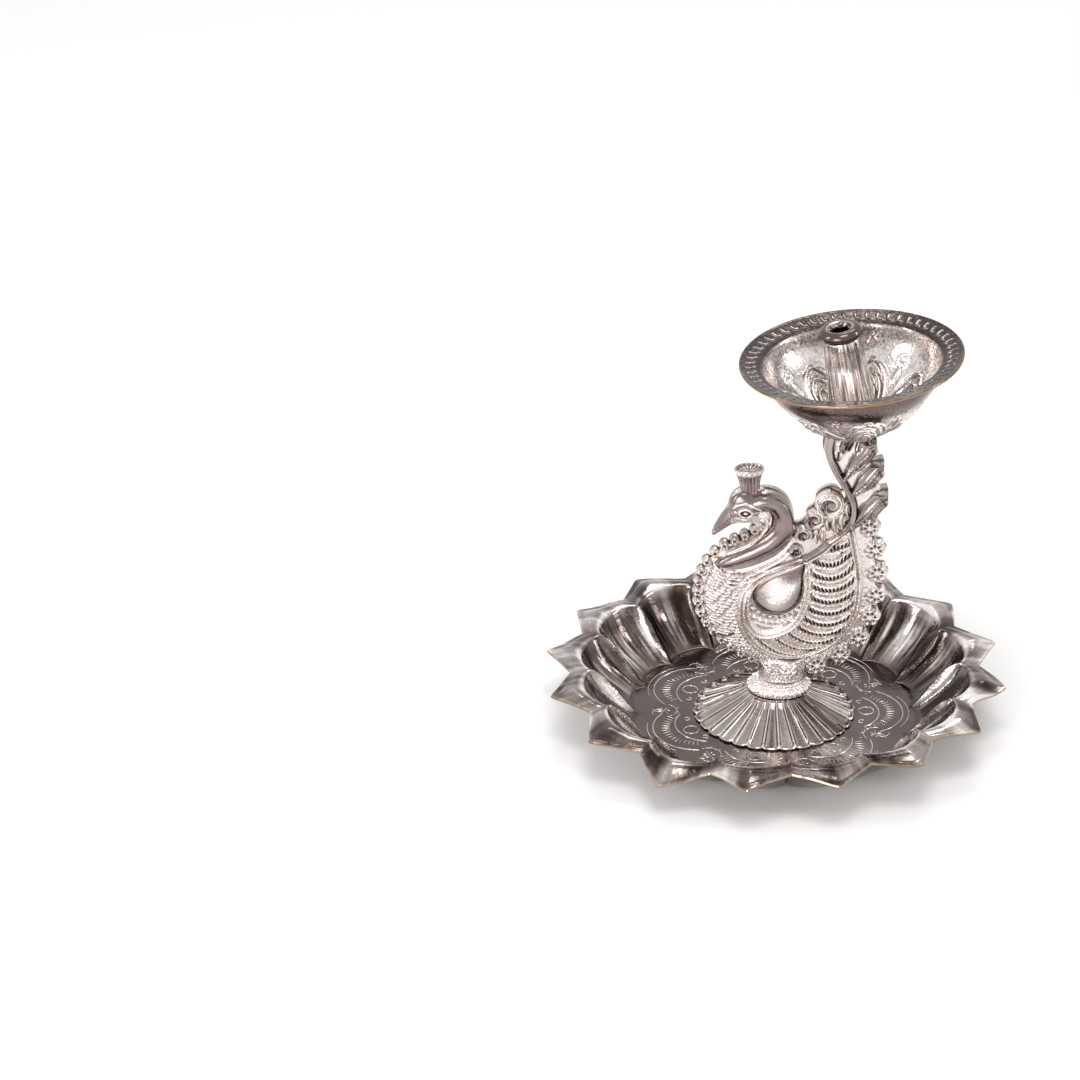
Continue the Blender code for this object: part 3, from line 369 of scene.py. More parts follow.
def floor_engraving():
    """Seven fans with an eye each round the tray's floor, and small flowers between them."""
    lines = []

    def add(flat, turn, radius=0.16, z=SHEET + 0.03):
        c, s = math.cos(turn), math.sin(turn)
        flat = np.asarray(flat)
        spun = np.stack([flat[:, 0] * c - flat[:, 1] * s, flat[:, 0] * s + flat[:, 1] * c,
                         np.full(len(flat), z)], -1)
        lines.append((spun, radius))

    for k in range(FANS):
        turn = math.radians(0.5 + k * 360 / FANS)
        add(arc_line((25.4, -0.6), 2.1, -170, 175, 28, 0.95), turn, 0.17)
        add(arc_line((19.5, -1.2), 9.4, -60, 58), turn, 0.2)
        add(arc_line((23.5, -1.0), 12.0, -66, 66, 36), turn, 0.2)
        add(arc_line((23.5, -1.0), 13.6, -38, 38, 24), turn, 0.13)
        for side in (-1, 1):
            add(arc_line((23.7, side * 5.3 - 1.0), 0.75, 20, 300, 12), turn, 0.16)
            add(arc_line((29.0, side * 12.6), 1.9, 90 * side - 60, 90 * side + 100, 12), turn, 0.15)
        for n in range(17):
            a = math.radians(-64 + 8 * n)
            tick = [(23.5 + r * math.cos(a), -1.0 + r * math.sin(a)) for r in (7.4, 8.4, 9.7)]
            add(tick, turn, 0.17)
        between = turn + math.pi / FANS
        for n in range(6):
            a = math.radians(60 * n)
            petal = [(30.2 + r * math.cos(a), r * math.sin(a)) for r in (0.7, 1.2, 1.7)]
            add(petal, between, 0.19)
        add(arc_line((30.2, 0.0), 3.4, 100, 250, 14), between, 0.14)
        add(arc_line((26.0, 0.0), 1.0, -80, 80, 8), between, 0.14)
        for n in (-2, -1, 1, 2):
            add([(25.6 + 0.6 * abs(n), 1.7 * n), (26.2 + 0.6 * abs(n), 1.8 * n)], between, 0.16)
    return lines


def build_tray(metal):
    top, tone = tray_surface()
    tray = smooth(sheet_piece("petal_tray", top, SHEET), 50)
    edge = np.zeros(tone.shape)
    edge[-1] = 0.5
    set_tone(tray, sheet_values(tone, 0.55, 0.4, under=0.42), sheet_values(edge, 0.8, 0.0, under=0.0))
    dress(tray, metal, LAMP, "polished_silver_plate", "tray")
    marks = tubes_piece("tray_engraving", floor_engraving())
    set_tone(marks, 0.76)
    dress(marks, metal, LAMP, "polished_silver_plate")
    boss = turned("tray_boss", [(4.6, 0.6), (5.0, 1.2), (5.0, 6.6), (4.6, 7.0), (1.6, 7.0), (1.6, 6.2),
                                (4.2, 6.2), (4.2, 0.6)], 48)
    set_tone(boss, 0.45)
    dress(smooth(boss, 30), metal, LAMP, "polished_silver_plate")


# Cone

def build_cone(metal):
    """Thirty flat-bottomed gutters with rounded lower ends at the rim, between narrow ridges; the tone
    holds painted highlights and painted shade.
    """
    cols = CONE_FLUTES * 24
    angle = turn_steps(cols)
    turn = (angle - math.radians(1.5)) * CONE_FLUTES / TAU
    across = np.abs(2 * (turn - np.round(turn)))
    number = np.round(turn).astype(int) % CONE_FLUTES
    flute_tone_and_shade = np.random.default_rng(23).normal(0, 0.06, CONE_FLUTES)[number]
    # Painted shade: a darker reflection across the flutes on one side, added to a random tone for each
    # flute
    flute_tone_and_shade -= 0.42 * bell(np.remainder(angle - DARK_REFLECTION_TURN + math.pi, TAU), math.pi, 0.42)
    rows = [(np.full(cols, radius), np.full(cols, CONE_TOP_Z), np.full(cols, 0.5)) for radius in (1.6, 6.6)]
    for t in np.concatenate([np.linspace(0, 0.84, 26), np.linspace(0.85, 1.0, 26)]):
        width = 0.70 + 0.16 * t
        side = np.minimum(across / width, 1.0)
        radius = CONE_TOP + (CONE_RIM - 0.8 * across ** 3 - CONE_TOP) * t
        height = CONE_TOP_Z - (CONE_TOP_Z - CONE_FOOT_Z) * t ** 0.94
        floor = (1 - side ** 3.5) ** 0.5
        gutter_end = 0.99 - 0.06 * (1 - dome(side))
        inside = step_between(0.0, 0.022, gutter_end - t) * step_between(0.0, 0.12, t)
        depth = (0.40 + 0.85 * t) * floor * inside
        line = bell(across, width, 0.07) * inside
        crown = step_between(width + 0.02, 1.0, across)
        # Tone: painted shade lines along the gutter edges and in the gutters' middle, painted highlights on
        # the ridges, and darker towards the top
        tone = 0.66 + flute_tone_and_shade + 0.10 * t - 0.38 * line + 0.40 * crown - 0.12 * (1 - side) * inside
        # Painted shade: a darker line at each gutter's lower end
        tone = tone - 0.16 * bell(gutter_end, t, 0.02)
        rows.append((radius, height - depth, tone))
    rim = CONE_RIM + 0.3 - 0.8 * across ** 3
    rows.append((rim, np.full(cols, CONE_FOOT_Z - 0.30), np.full(cols, 0.75)))
    radius, height, tone = (np.array([row[k] for row in rows]) for k in range(3))
    cone = smooth(sheet_piece("fluted_cone", around(radius, angle, height), 0.5), 50)
    set_tone(cone, sheet_values(np.clip(tone, 0.02, 1), 0.5, 0.5, under=0.4))
    dress(cone, metal, LAMP, "polished_silver_plate", "pedestal_cone")


# Bird relief
# All places on the bird are millimetres from its foot, x to the tail and z up.

OUTLINE = [
    (-3.7, -0.5), (-3.9, 4.0), (-6.4, 5.4), (-9.6, 7.2), (-12.6, 9.3), (-15.7, 12.3), (-18.3, 15.9),
    (-20.2, 20.3), (-21.0, 25.3), (-20.8, 30.4), (-19.5, 35.3), (-17.0, 39.0), (-14.3, 41.2),
    (-11.4, 42.8),
    (-8.4, 44.1), (-6.2, 46.0), (-6.6, 47.6), (-9.5, 47.9), (-12.0, 47.7), (-14.5, 46.2), (-16.9, 44.4),
    (-18.1, 44.5), (-17.4, 46.9), (-15.9, 49.7), (-14.1, 52.6), (-13.4, 55.4), (-12.0, 57.8), (-10.2, 58.6),
    (-5.4, 58.7), (-2.4, 58.2), (0.3, 57.0), (2.6, 54.9), (3.9, 51.6), (4.3, 48.7), (4.9, 47.4),
    (6.2, 48.2), (7.2, 49.4), (7.5, 51.6), (9.5, 53.3), (10.0, 56.4), (12.4, 58.4), (15.0, 58.8),
    (16.9, 57.9), (15.6, 60.5), (13.6, 64.1), (11.9, 68.9), (11.2, 72.6), (12.4, 76.2), (18.0, 76.6),
    (24.4, 76.3), (24.3, 72.6), (23.6, 70.2), (24.2, 66.6), (25.9, 65.4), (25.6, 61.6), (27.4, 58.2),
    (27.6, 52.6), (25.6, 49.2), (25.2, 45.0), (26.0, 40.3), (26.6, 33.0), (26.4, 26.3), (25.2, 19.3),
    (22.4, 13.0), (17.8, 7.6), (12.4, 4.4), (8.4, 2.6), (8.1, -0.5)]
BEADS = [(-4.2, 48.2), (-6.5, 46.0), (-9.1, 44.3), (-11.8, 42.9), (-14.6, 41.4), (-17.1, 39.1),
         (-19.2, 36.4), (-20.6, 33.4), (-21.4, 30.3), (-21.6, 27.1), (-21.5, 23.9), (-20.7, 20.6),
         (-19.1, 17.5), (-17.1, 14.8), (-14.9, 12.2), (-12.3, 9.9), (-9.5, 8.0), (-6.5, 6.4)]
ROSETTES = [(24.6, 47.2), (26.3, 40.4), (27.0, 33.3), (26.9, 26.4), (25.4, 19.5), (22.4, 12.9), (17.5, 7.7),
            (11.4, 4.5)]
FOOT_ROSETTES = [(-2.9, 4.6, 1.9), (3.6, 3.9, 2.3)]
NECK = [(-7.4, 54.2, 2.6), (-4.2, 55.4, 2.8), (-1.0, 54.7, 3.0), (1.1, 52.3, 3.2), (1.7, 49.2, 3.3),
        (0.8, 46.0, 3.3), (-1.8, 43.0, 3.2), (-5.4, 40.6, 3.0), (-9.6, 38.6, 2.7), (-13.0, 37.2, 2.2),
        (-15.2, 36.5, 1.5), (-16.4, 36.2, 0.6)]
UNDER_NECK = [(-17.2, 36.0), (-14.6, 34.4), (-11.0, 33.8), (-7.4, 34.6), (-3.2, 36.7), (1.2, 39.3),
              (3.6, 42.0)]
OVER_NECK = [(-17.0, 38.0), (-14.6, 39.5), (-11.0, 41.4), (-7.2, 43.4), (-4.3, 45.6), (-3.2, 48.0),
             (-3.6, 50.0)]
BAND = [(13.4, 76.4, 1.15), (12.7, 72.4, 1.1), (13.2, 68.4, 1.0), (15.0, 64.4, 0.9), (17.2, 60.4, 0.8),
        (19.1, 56.8, 0.75), (20.0, 53.4, 0.75), (19.6, 49.8, 0.8), (17.7, 46.6, 0.8), (14.2, 43.4, 0.8),
        (9.6, 40.6, 0.75), (4.4, 38.4, 0.7), (-0.8, 36.6, 0.6), (-4.8, 34.6, 0.5), (-8.0, 31.4, 0.42),
        (-9.8, 27.4, 0.4), (-10.3, 22.6, 0.4), (-9.6, 17.8, 0.4), (-7.2, 13.2, 0.4), (-3.0, 9.4, 0.4),
        (3.0, 7.3, 0.4), (8.8, 7.8, 0.4), (14.0, 10.4, 0.4), (18.4, 14.4, 0.4), (21.2, 20.0, 0.4),
        (22.4, 26.4, 0.42), (22.4, 33.0, 0.42), (21.4, 39.4, 0.42), (20.4, 44.4, 0.4), (19.7, 47.4, 0.3)]
EYE_FRAME = [(7.4, 39.4), (8.5, 34.5), (8.5, 29.0), (7.6, 24.2), (5.4, 19.5), (1.8, 16.6), (-2.4, 15.2),
             (-6.0, 15.9), (-8.3, 18.9), (-9.2, 23.0), (-9.0, 27.4), (-7.4, 31.6), (-4.2, 34.6),
             (0.6, 36.5), (4.6, 38.0)]
TEARDROP = [(6.9, 38.0), (6.6, 33.6), (6.4, 29.6), (5.0, 25.6), (1.8, 23.2), (-2.4, 23.0), (-5.7, 24.9),
            (-6.8, 27.8), (-5.9, 31.0), (-2.8, 33.7), (1.6, 35.7)]
FEATHERS = [(14.6, 42.6, 0.085), (14.2, 38.7, 0.080), (14.2, 34.9, 0.075), (14.4, 31.3, 0.070),
            (14.6, 27.7, 0.068), (14.4, 24.1, 0.066), (14.0, 20.5, 0.064), (13.0, 17.1, 0.062),
            (11.2, 14.2, 0.060), (8.6, 11.8, 0.055), (5.6, 9.9, 0.050)]
VOLUTES = [(13.4, 54.4, 4.0), (9.3, 49.9, 2.9), (6.6, 45.2, 2.6), (4.6, 41.2, 2.0)]
VOLUTE_ARCS = [(0.93, 0.085, 25, 275, 1.3), (0.77, 0.075, 5, 255, 1.1), (0.62, 0.07, -5, 240, 0.9)]
VOLUTE_HOOK = [(0.86, 48), (0.82, 15), (0.74, -18), (0.66, -50), (0.52, -84), (0.36, -125), (0.18, -190)]
LOBES = [(12.9, 48.4, 2.1, 0.62, 100), (14.6, 48.4, 2.6, 0.72, 96), (16.5, 49.6, 3.0, 0.80, 90),
         (18.0, 52.6, 2.6, 0.60, 96), (9.9, 44.3, 1.8, 0.55, 98), (11.6, 44.9, 2.0, 0.62, 92)]
TAIL_LEAVES = [(15.7, 68.4, 18.6, 75.8, 1.6), (19.8, 69.2, 23.6, 76.4, 1.9), (17.2, 62.2, 25.4, 73.6, 2.9),
               (19.0, 56.4, 27.6, 66.6, 3.1), (20.0, 47.6, 29.0, 57.8, 3.2)]
BEAD_RADIUS, ROSETTE_RADIUS, FLOWER_LOBES = 1.5, 3.0, 7
PITCH, HALF_SEAM = 0.13, 0.12


def inside_polygon(x, z, poly):
    """Signed distance to a closed line, negative inside."""
    away = np.full(x.shape, 1e9)
    inside = np.zeros(x.shape, bool)
    for (ax, az), (bx, bz) in zip(poly, np.roll(poly, -1, 0)):
        dx, dz = bx - ax, bz - az
        t = np.clip(((x - ax) * dx + (z - az) * dz) / max(dx * dx + dz * dz, 1e-12), 0, 1)
        away = np.minimum(away, np.hypot(x - ax - t * dx, z - az - t * dz))
        crossing = (az > z) != (bz > z)
        if az != bz:
            inside ^= crossing & (x < ax + (z - az) * dx / dz)
    return np.where(inside, -away, away)


def to_line(x, z, line):
    """Distance to an open line, how far along it in millimetres, and the line's own third value there."""
    best = np.full(x.shape, 1e9)
    along = np.zeros(x.shape)
    extra = np.zeros(x.shape)
    length = 0.0
    for a, b in zip(line, line[1:]):
        dx, dz = b[0] - a[0], b[1] - a[1]
        size = math.hypot(dx, dz)
        t = np.clip(((x - a[0]) * dx + (z - a[1]) * dz) / max(size * size, 1e-12), 0, 1)
        gap = np.hypot(x - a[0] - t * dx, z - a[1] - t * dz)
        near = gap < best
        best = np.where(near, gap, best)
        along = np.where(near, length + t * size, along)
        if len(a) > 2:
            extra = np.where(near, a[2] + t * (b[2] - a[2]), extra)
        length += size
    return best, along, extra


def local(x, z, cx, cz, turn):
    """Places seen from a point, along a direction in degrees and across it."""
    c, s = math.cos(math.radians(turn)), math.sin(math.radians(turn))
    return (x - cx) * c + (z - cz) * s, -(x - cx) * s + (z - cz) * c


def blurred(values, cells):
    """Mean over a square of the grid."""
    pad = np.pad(values, cells, mode="edge")
    total = np.cumsum(np.cumsum(pad, 0), 1)
    total = np.pad(total, ((1, 0), (1, 0)))
    n = 2 * cells + 1
    return (total[n:, n:] - total[:-n, n:] - total[n:, :-n] + total[:-n, :-n]) / (n * n)


def polar(x, z, cx, cz):
    """Distance and angle from a place."""
    return np.hypot(x - cx, z - cz), np.arctan2(z - cz, x - cx)


def lifted(height, where, level):
    """The surface raised to a level where it is lower."""
    return np.where(where, np.maximum(height, level), height)


def rosette(height, x, z, cx, cz, radius, turn=0.0, foot=0.9):
    """A flower of seven round lobes about a middle boss, with pits between the lobes."""
    r, a = polar(x, z, cx, cz)
    lobe = 0.5 + 0.5 * np.cos(FLOWER_LOBES * (a + turn))
    shape = 0.50 * bell(r, 0.70 * radius, 0.19 * radius) * lobe ** 0.6 + 0.50 * bell(r, 0, 0.17 * radius)
    shape = shape - bell(r, 0.42 * radius, 0.13 * radius) * (1 - lobe) ** 1.2
    shape = shape - 0.7 * bell(r, 0.80 * radius, 0.20 * radius) * (1 - lobe) ** 3
    swell = foot + 1.9 * dome(r / (radius * 1.1))
    return np.where(r < radius * 1.12, np.maximum(height, swell) + shape, height)


def ridge(height, x, z, line, half_width, top, base=None):
    """Raises a round ridge along a line: over the surface, or from a base height."""
    off, _, _ = to_line(x, z, spline(line, 4))
    arch = dome(off / half_width)
    if base is None:
        return height + top * arch
    return lifted(height, off < half_width, base + top * arch)


def leaf_place(x, z, x0, z0, x1, z1, wide):
    """Where a point is in a tail leaf: a value that is 1 on its edge, how far along, and how far across."""
    long = math.hypot(x1 - x0, z1 - z0)
    u, v = local(x, z, x0, z0, math.degrees(math.atan2(z1 - z0, x1 - x0)))
    t = u / long
    half = wide * (0.28 + 0.72 * step_between(0.0, 0.55, t))
    half = np.minimum(half, np.maximum(0.15, 1.08 * (long - u) + 0.15))
    start = np.clip(-t / 0.12, 0, None) ** 2 + np.clip((t - 1.0) / 0.03, 0, None)
    q = (np.abs(v / half) ** 4 + start) ** 0.25
    return q, t, v


def bird_silhouette(x, z):
    """Signed distance to the bird's outline, negative inside: body, beads, rosettes and leaf tips."""
    body = inside_polygon(x, z, spline(OUTLINE, 4, closed=True))
    shape = body
    for cx, cz in BEADS:
        shape = np.minimum(shape, np.hypot(x - cx, z - cz) - BEAD_RADIUS)
    for cx, cz in ROSETTES:
        r, a = polar(x, z, cx, cz)
        shape = np.minimum(shape, r + 0.05 - ROSETTE_RADIUS - 0.22 * np.cos(FLOWER_LOBES * a))
    for leaf in TAIL_LEAVES:
        q, _, _ = leaf_place(x, z, *leaf)
        shape = np.minimum(shape, (q - 1) * leaf[4])
    shape = np.maximum(shape, z - 76.4 - 0.087 * (x - 20.3))
    return body, np.maximum(shape, -0.5 - z)


def feather_rows(height, painted_shade, x, z, where):
    """Rows of drop-shaped teeth between pits that hold painted shade, each under a scalloped line and over
    a plain band.
    """
    feet = [row[1] for row in FEATHERS[1:]] + [8.3]
    grain = blurred(np.random.default_rng(17).normal(0, 1, x.shape), 1)
    for (xc, zc, curve), foot in zip(FEATHERS, feet):
        size = min(1.0, max(0.6, (zc - foot) / 3.5))
        lean = 2 * curve * (x - xc)
        down = (zc + curve * (x - xc) ** 2 - z) / np.sqrt(1 + lean ** 2) / size
        place = (x + down * size * (0.8 * lean - 0.22)) / 1.15
        off = np.abs(place - np.round(place))
        scallop = 0.46 * bell(down, 0.34 * (1 - 4 * off ** 2), 0.24)
        half = 0.14 + 0.20 * np.clip((down - 0.40) / 1.1, 0, 1)
        pit_zone = step_between(0.40, 0.60, down) * step_between(2.20, 1.80, down)
        pit = pit_zone * step_between(0.07, -0.07, off - half)
        tooth_zone = step_between(0.20, 0.45, down) * step_between(2.45, 1.50, down)
        tooth = dome((0.5 - off) / (0.52 - half)) * tooth_zone
        sand = 0.30 * grain * step_between(1.9, 2.1, down) * step_between(2.8, 2.5, down)
        step = -0.16 * bell(down, 3.15, 0.14)
        tier = 0.42 * step_between(3.5, 0.0, down) * (down > -0.1)
        relief = size * (scallop + 0.60 * tooth - 0.95 * pit) + sand + step + tier
        height = np.where(where, height + relief, height)
        # Painted shade in the pits
        painted_shade = np.where(where, np.maximum(painted_shade, 0.66 * pit), painted_shade)
    return height, painted_shade


def pebbles(x, z):
    """Small round grains set close together."""
    u = x / 0.95 + 0.35 * np.sin(z * 1.9 + 0.5)
    v = z / 0.90 + 0.35 * np.sin(x * 1.7)
    v = v + 0.5 * (np.floor(u) % 2)
    away = np.hypot(u - np.floor(u) - 0.5, v - np.floor(v) - 0.5)
    return 0.46 * dome(away / 0.5) - 0.12


def breast_scales(height, x, z, where):
    """Short curved strokes in staggered rows, each with a small pit over it."""
    x = x + 0.22 * np.sin(1.9 * z + 0.8 * x)
    z = z + 0.16 * np.sin(1.7 * x - 0.6 * z)
    row = (z - 0.035 * (x + 12.0) ** 2) / 1.12
    number = np.floor(row)
    up = row - number
    place = (x + 0.25 * z + 0.95 * (number % 2)) / 1.9
    across = place - np.round(place)
    stroke = bell(up, 0.22 + 1.3 * across ** 2, 0.17)
    pit = bell(across, 0, 0.24) * bell(up, 0.68, 0.17)
    return np.where(where, height + 0.34 * stroke - 0.30 * pit, height)


def eye_and_drop(height, shine, x, z, eye, drop):
    """The feather's eye: framing ridges, the polished drop, and rows of small bosses below it."""
    height = height + 0.48 * bell(eye, 0, 0.34) + 0.42 * bell(eye, -1.15, 0.28)
    height = height - 0.12 * bell(eye, -0.58, 0.2) - 0.6 * step_between(-1.5, -2.3, eye)
    lower = step_between(26.5, 24.8, z) * (eye < -1.7)
    angle = np.arctan2(z - 29.0, x - 0.5)
    for gap, size, count in ((1.25, 0.60, 30), (3.0, 0.45, 36)):
        row = bell(drop, gap, 0.42) * (0.5 + 0.5 * np.cos(angle * count)) ** 0.6
        height = height + size * row * lower
    for gap in (2.15, 3.9):
        height = height - 0.35 * bell(drop, gap, 0.25) * lower
    swell = np.sqrt(np.clip(1 - (1 + np.maximum(drop, -1.6) / 1.6) ** 2, 0, 1))
    dx, dz = x + 0.5, z - 30.0
    face = 6.3 + 0.22 * dx - 0.33 * dz - 0.024 * (dx ** 2 + dz ** 2)
    height = np.where(drop < 0, 4.0 + (np.maximum(face, 4.9) - 4.0) * swell, height)
    height = height - 0.35 * bell(drop, 0.15, 0.16) + 0.30 * bell(drop, 0.55, 0.25)
    flat = lower * step_between(2.2, 1.6, drop) * step_between(0.2, 0.5, drop)
    # A painted highlight: a pale frosted band across the middle of the drop
    u, v = local(x, z, 1.6, 29.4, 38)
    painted_glare = bell(v, 0, 1.6 - 0.10 * u) * np.exp(-(u / 5.2) ** 4)
    polished = step_between(0.1, -0.25, drop) * (1 - 0.92 * painted_glare)
    return height, np.maximum(shine, np.maximum(polished, 0.5 * flat))


def scrolls(height, shine, x, z):
    """Four open curls between the neck and the tail band, with polished hollows, and lobes beside them."""
    for cx, cz, radius in VOLUTES:
        r, a = polar(x, z, cx, cz)
        r, a = r / radius, np.degrees(a) % 360
        ground = max(2.3, float(height[r < 0.3].mean()))
        height = lifted(height, r < 1.02, ground)
        for at, half, start, end, top in VOLUTE_ARCS:
            window = step_between(start, start + 25, a) * step_between(end, end - 25, a)
            arch = dome((r - at * (1 - 0.0005 * (a - 60))) / half) * window
            height = lifted(height, arch > 0.05, ground + top * arch)
        hollow = np.hypot((x - cx + 0.05 * radius) / 0.50, (z - cz + 0.08 * radius) / 0.42) / radius
        height = np.where(hollow < 1, np.minimum(height, ground - 0.30 * (1 - hollow ** 2)), height)
        shine = np.where(hollow < 1.05, 1.0, shine)
        hook = [(cx + radius * g * math.cos(math.radians(b)), cz + radius * g * math.sin(math.radians(b)))
                for g, b in VOLUTE_HOOK]
        height = ridge(height, x, z, hook, 0.075 * radius + 0.14, 1.1, base=ground)
    for cx, cz, long, wide, turn in LOBES:
        u, v = local(x, z, cx, cz, turn)
        q = (u / long) ** 2 + ((v + 0.09 * u * u) / wide) ** 2
        height = lifted(height, q < 2.2, 2.3)
        height = lifted(height, q < 1, 2.3 + 1.25 * np.sqrt(np.maximum(0.0, 1 - q)))
        shine = np.where(q < 0.7, np.maximum(shine, 0.45), shine)
    return height, shine


def tail_leaves(height, shine, x, z):
    """Overlapping leaves up the tail: a broad polished face, a short frosted one and a blunt tip."""
    streaks = blurred(np.random.default_rng(31).normal(0, 1, x.shape), 1)
    for number, leaf in enumerate(TAIL_LEAVES):
        q, t, v = leaf_place(x, z, *leaf)
        wide = leaf[4]
        fold = 0.28 * wide
        side = np.where(v > fold, (v - fold) / (wide - fold), (fold - v) / (wide + fold))
        roof = 1 - np.clip(side, 0, 1) ** 1.35
        body = 1.3 + 0.7 * t + 2.1 * roof * np.clip(4.0 * (1 - q), 0, 1) ** 0.5
        body = body + 0.25 * np.sin(9 * t + number)
        wavy = v + 0.30 * np.sin(6.0 * t + 1.7 * number)
        for place, size in ((0.0, 0.42), (-0.30, -0.34), (-0.46, 0.36), (-0.74, -0.22)):
            body = body + size * bell(wavy, place * wide, 0.20) * np.clip(5 * t * (1 - t), 0, 1)
        body = body - 0.5 * bell(t, 0.80 + 0.03 * v, 0.05) * (v < fold) * (q < 0.92)
        body = body + 0.12 * streaks * (v < fold)
        face = step_between(0.92, 0.62, v / wide) * step_between(1.0, 0.9, q)
        if number < 2:
            pit = step_between(0.62, 0.42, np.hypot(v / wide, (t - 0.55) * 2.0))
            body = body - 1.3 * pit
            face = np.maximum(0.3 * face, pit)
        height = np.where(q < 1, body, height)
        shine = np.where(q < 1, 0.9 * face, shine)
    return height, shine


def head_and_neck(height, shine, x, z):
    """The neck between two milled lines, the round head with its beak, eye, brow and cheek."""
    off, along, size = to_line(x, z, spline(NECK, 5))
    arch = dome(off / np.maximum(size, 0.1))
    beside = bell(off - size, 0.42, 0.30) * (0.7 + 0.3 * np.cos(along * TAU / 0.62))
    height = height + 0.5 * beside * step_between(5.0, 8.0, along)
    height = lifted(height, off < size, 1.3 + arch * (1.0 + 0.85 * size))
    polished = step_between(1.0, 0.86, off / np.maximum(size, 0.1)) * step_between(0.0, 2.0, along)
    shine = np.maximum(shine, polished)
    r = np.sqrt(((x + 9.3) / 4.5) ** 2 + ((z - 53.6) / 4.7) ** 2)
    height = lifted(height, r < 1, 1.2 + 2.5 * dome(r))
    shine = np.maximum(shine, 1.0 * (r < 0.97))
    beak = [(-11.4, 51.8, 2.7), (-13.8, 49.8, 2.1), (-16.0, 47.3, 1.35), (-17.7, 45.3, 0.65)]
    off, _, size = to_line(x, z, spline(beak, 4))
    arch = np.sqrt(np.maximum(0, size ** 2 - off ** 2))
    height = lifted(height, off < size, 0.7 + 1.05 * arch)
    shine = np.maximum(shine, 0.9 * (off < size * 0.95) * (x < -13.0))
    height = ridge(height, x, z, [(-13.2, 50.6), (-15.4, 48.2), (-17.3, 45.9)], 0.22, -0.4)
    height = ridge(height, x, z, [(-13.9, 54.4), (-13.3, 52.2), (-12.2, 50.4), (-10.6, 49.3)], 0.26, -0.5)
    height = ridge(height, x, z, [(-13.0, 52.4), (-11.8, 51.0), (-10.4, 50.2), (-8.6, 50.2)], 0.3, 0.4)
    q = np.sqrt(((x + 9.1) / 1.75) ** 2 + ((z - 52.5) / 1.2) ** 2)
    height = height + 0.55 * bell(q, 1, 0.2) + 0.6 * bell(q, 0, 0.42)
    height = height - 0.6 * bell(q, 0.60, 0.15)
    shine = np.where((np.abs(q - 1.0) < 0.22) | (q < 0.4), 0.15, shine)
    throat = (r < 1.05) & (z < 51.4) & (x > -12.6)
    height = np.where(throat, height + 0.45 * pebbles(x * 1.25, z * 1.25), height)
    shine = np.where(throat, 0.15, shine)
    brow = [(-12.4, 53.8), (-10.9, 55.0), (-8.6, 55.3), (-6.2, 54.5), (-4.6, 53.2)]
    cheek = [(-7.4, 52.6), (-5.0, 53.0), (-3.2, 52.3), (-2.2, 50.5), (-2.5, 48.2)]
    for line, size in ((brow, 0.4), (cheek, 0.55)):
        height = ridge(height, x, z, line, 0.4, size)
        shine = np.where(to_line(x, z, spline(line, 4))[0] < 0.3, 0.2, shine)
    return height, shine


def beads_and_rosettes(height, shine, painted_shade, calm, x, z):
    """Beads down the breast with a dimple each, and the rosettes behind the wing."""
    for number, (cx, cz) in enumerate(BEADS):
        r, a = polar(x, z, cx, cz)
        bead = 0.9 + 1.45 * dome(r / (BEAD_RADIUS + 0.05)) - 1.30 * bell(r, 0, 0.40)
        bead = bead + 0.34 * bell(r, 0.85, 0.3) * np.cos(5 * (a + 0.4 * number))
        height = lifted(height, r < BEAD_RADIUS + 0.05, bead)
        # Painted shade in each bead's dimple
        painted_shade = np.maximum(painted_shade, bell(np.hypot(x - cx - 0.1, z - cz), 0, 0.38))
        shine = np.where(r < BEAD_RADIUS, 0.35, shine)
        calm = np.where(r < BEAD_RADIUS + 0.2, 0.15, calm)
    for number, (cx, cz) in enumerate(ROSETTES):
        height = rosette(height, x, z, cx, cz, ROSETTE_RADIUS, turn=0.5 * number)
        r, a = polar(x, z, cx, cz)
        petals = 0.5 - 0.5 * np.cos(FLOWER_LOBES * (a + 0.5 * number))
        # Painted shade in the pits between a rosette's lobes
        painted_shade = np.maximum(painted_shade, 0.85 * bell(r, 1.36, 0.34) * petals ** 2)
        shine = np.where(r < ROSETTE_RADIUS, 0.22 - 0.2 * (r < 0.8), shine)
        calm = np.where(r < ROSETTE_RADIUS + 0.2, 0.12, calm)
    return height, shine, painted_shade, calm


def tail_band(height, shine, x, z):
    """The band down the tail and round the wing, and the wavy lines under the cup."""
    off, _, size = to_line(x, z, spline(BAND, 5))
    upper = step_between(44.0, 50.0, z) * (x > 9)
    arch = dome(off / np.maximum(size, 0.1))
    lift = 3.0 * upper + (1 - upper) * height
    dished = 0.5 * bell(off, 0, 0.45 * size) * step_between(0.55, 0.75, size)
    stand = 0.42 + 0.48 * step_between(0.42, 0.7, size)
    height = lifted(height, off < size, lift + stand * arch - dished)
    height = height - 0.12 * bell(off - size, 0.10, 0.14) * step_between(0.45, 0.6, size)
    shine = np.maximum(shine, (off < size) * 0.8 * step_between(0.42, 0.7, size))
    for level, rise in ((75.7, 0.6), (74.3, 0.5), (72.9, 0.35)):
        wavy = z - level - 0.087 * (x - 20.3) - 0.4 * np.sin((x - 14.5) * 0.55)
        height = height + np.where((x > 14.2) & (wavy > -1.2), 0.6 * rise * bell(wavy, 0, 0.38), 0)
    return height, shine


def bird_foot(height, x, z, wing):
    """The pebbled block that the bird stands on, with its two small rosettes."""
    block = dome((x - 2.2) / 6.3)
    foot = 4.4 * block * step_between(9.6, 6.0, z) + 0.45 * pebbles(x, z)
    height = lifted(height, (z < 9.4) & (wing > 0.5), foot)
    for cx, cz, radius in FOOT_ROSETTES:
        flower = rosette(np.zeros(x.shape), x, z, cx, cz, radius, turn=0.3, foot=0.0)
        height = np.where(np.hypot(x - cx, z - cz) < radius * 1.1, height + 0.50 * flower, height)
    return height


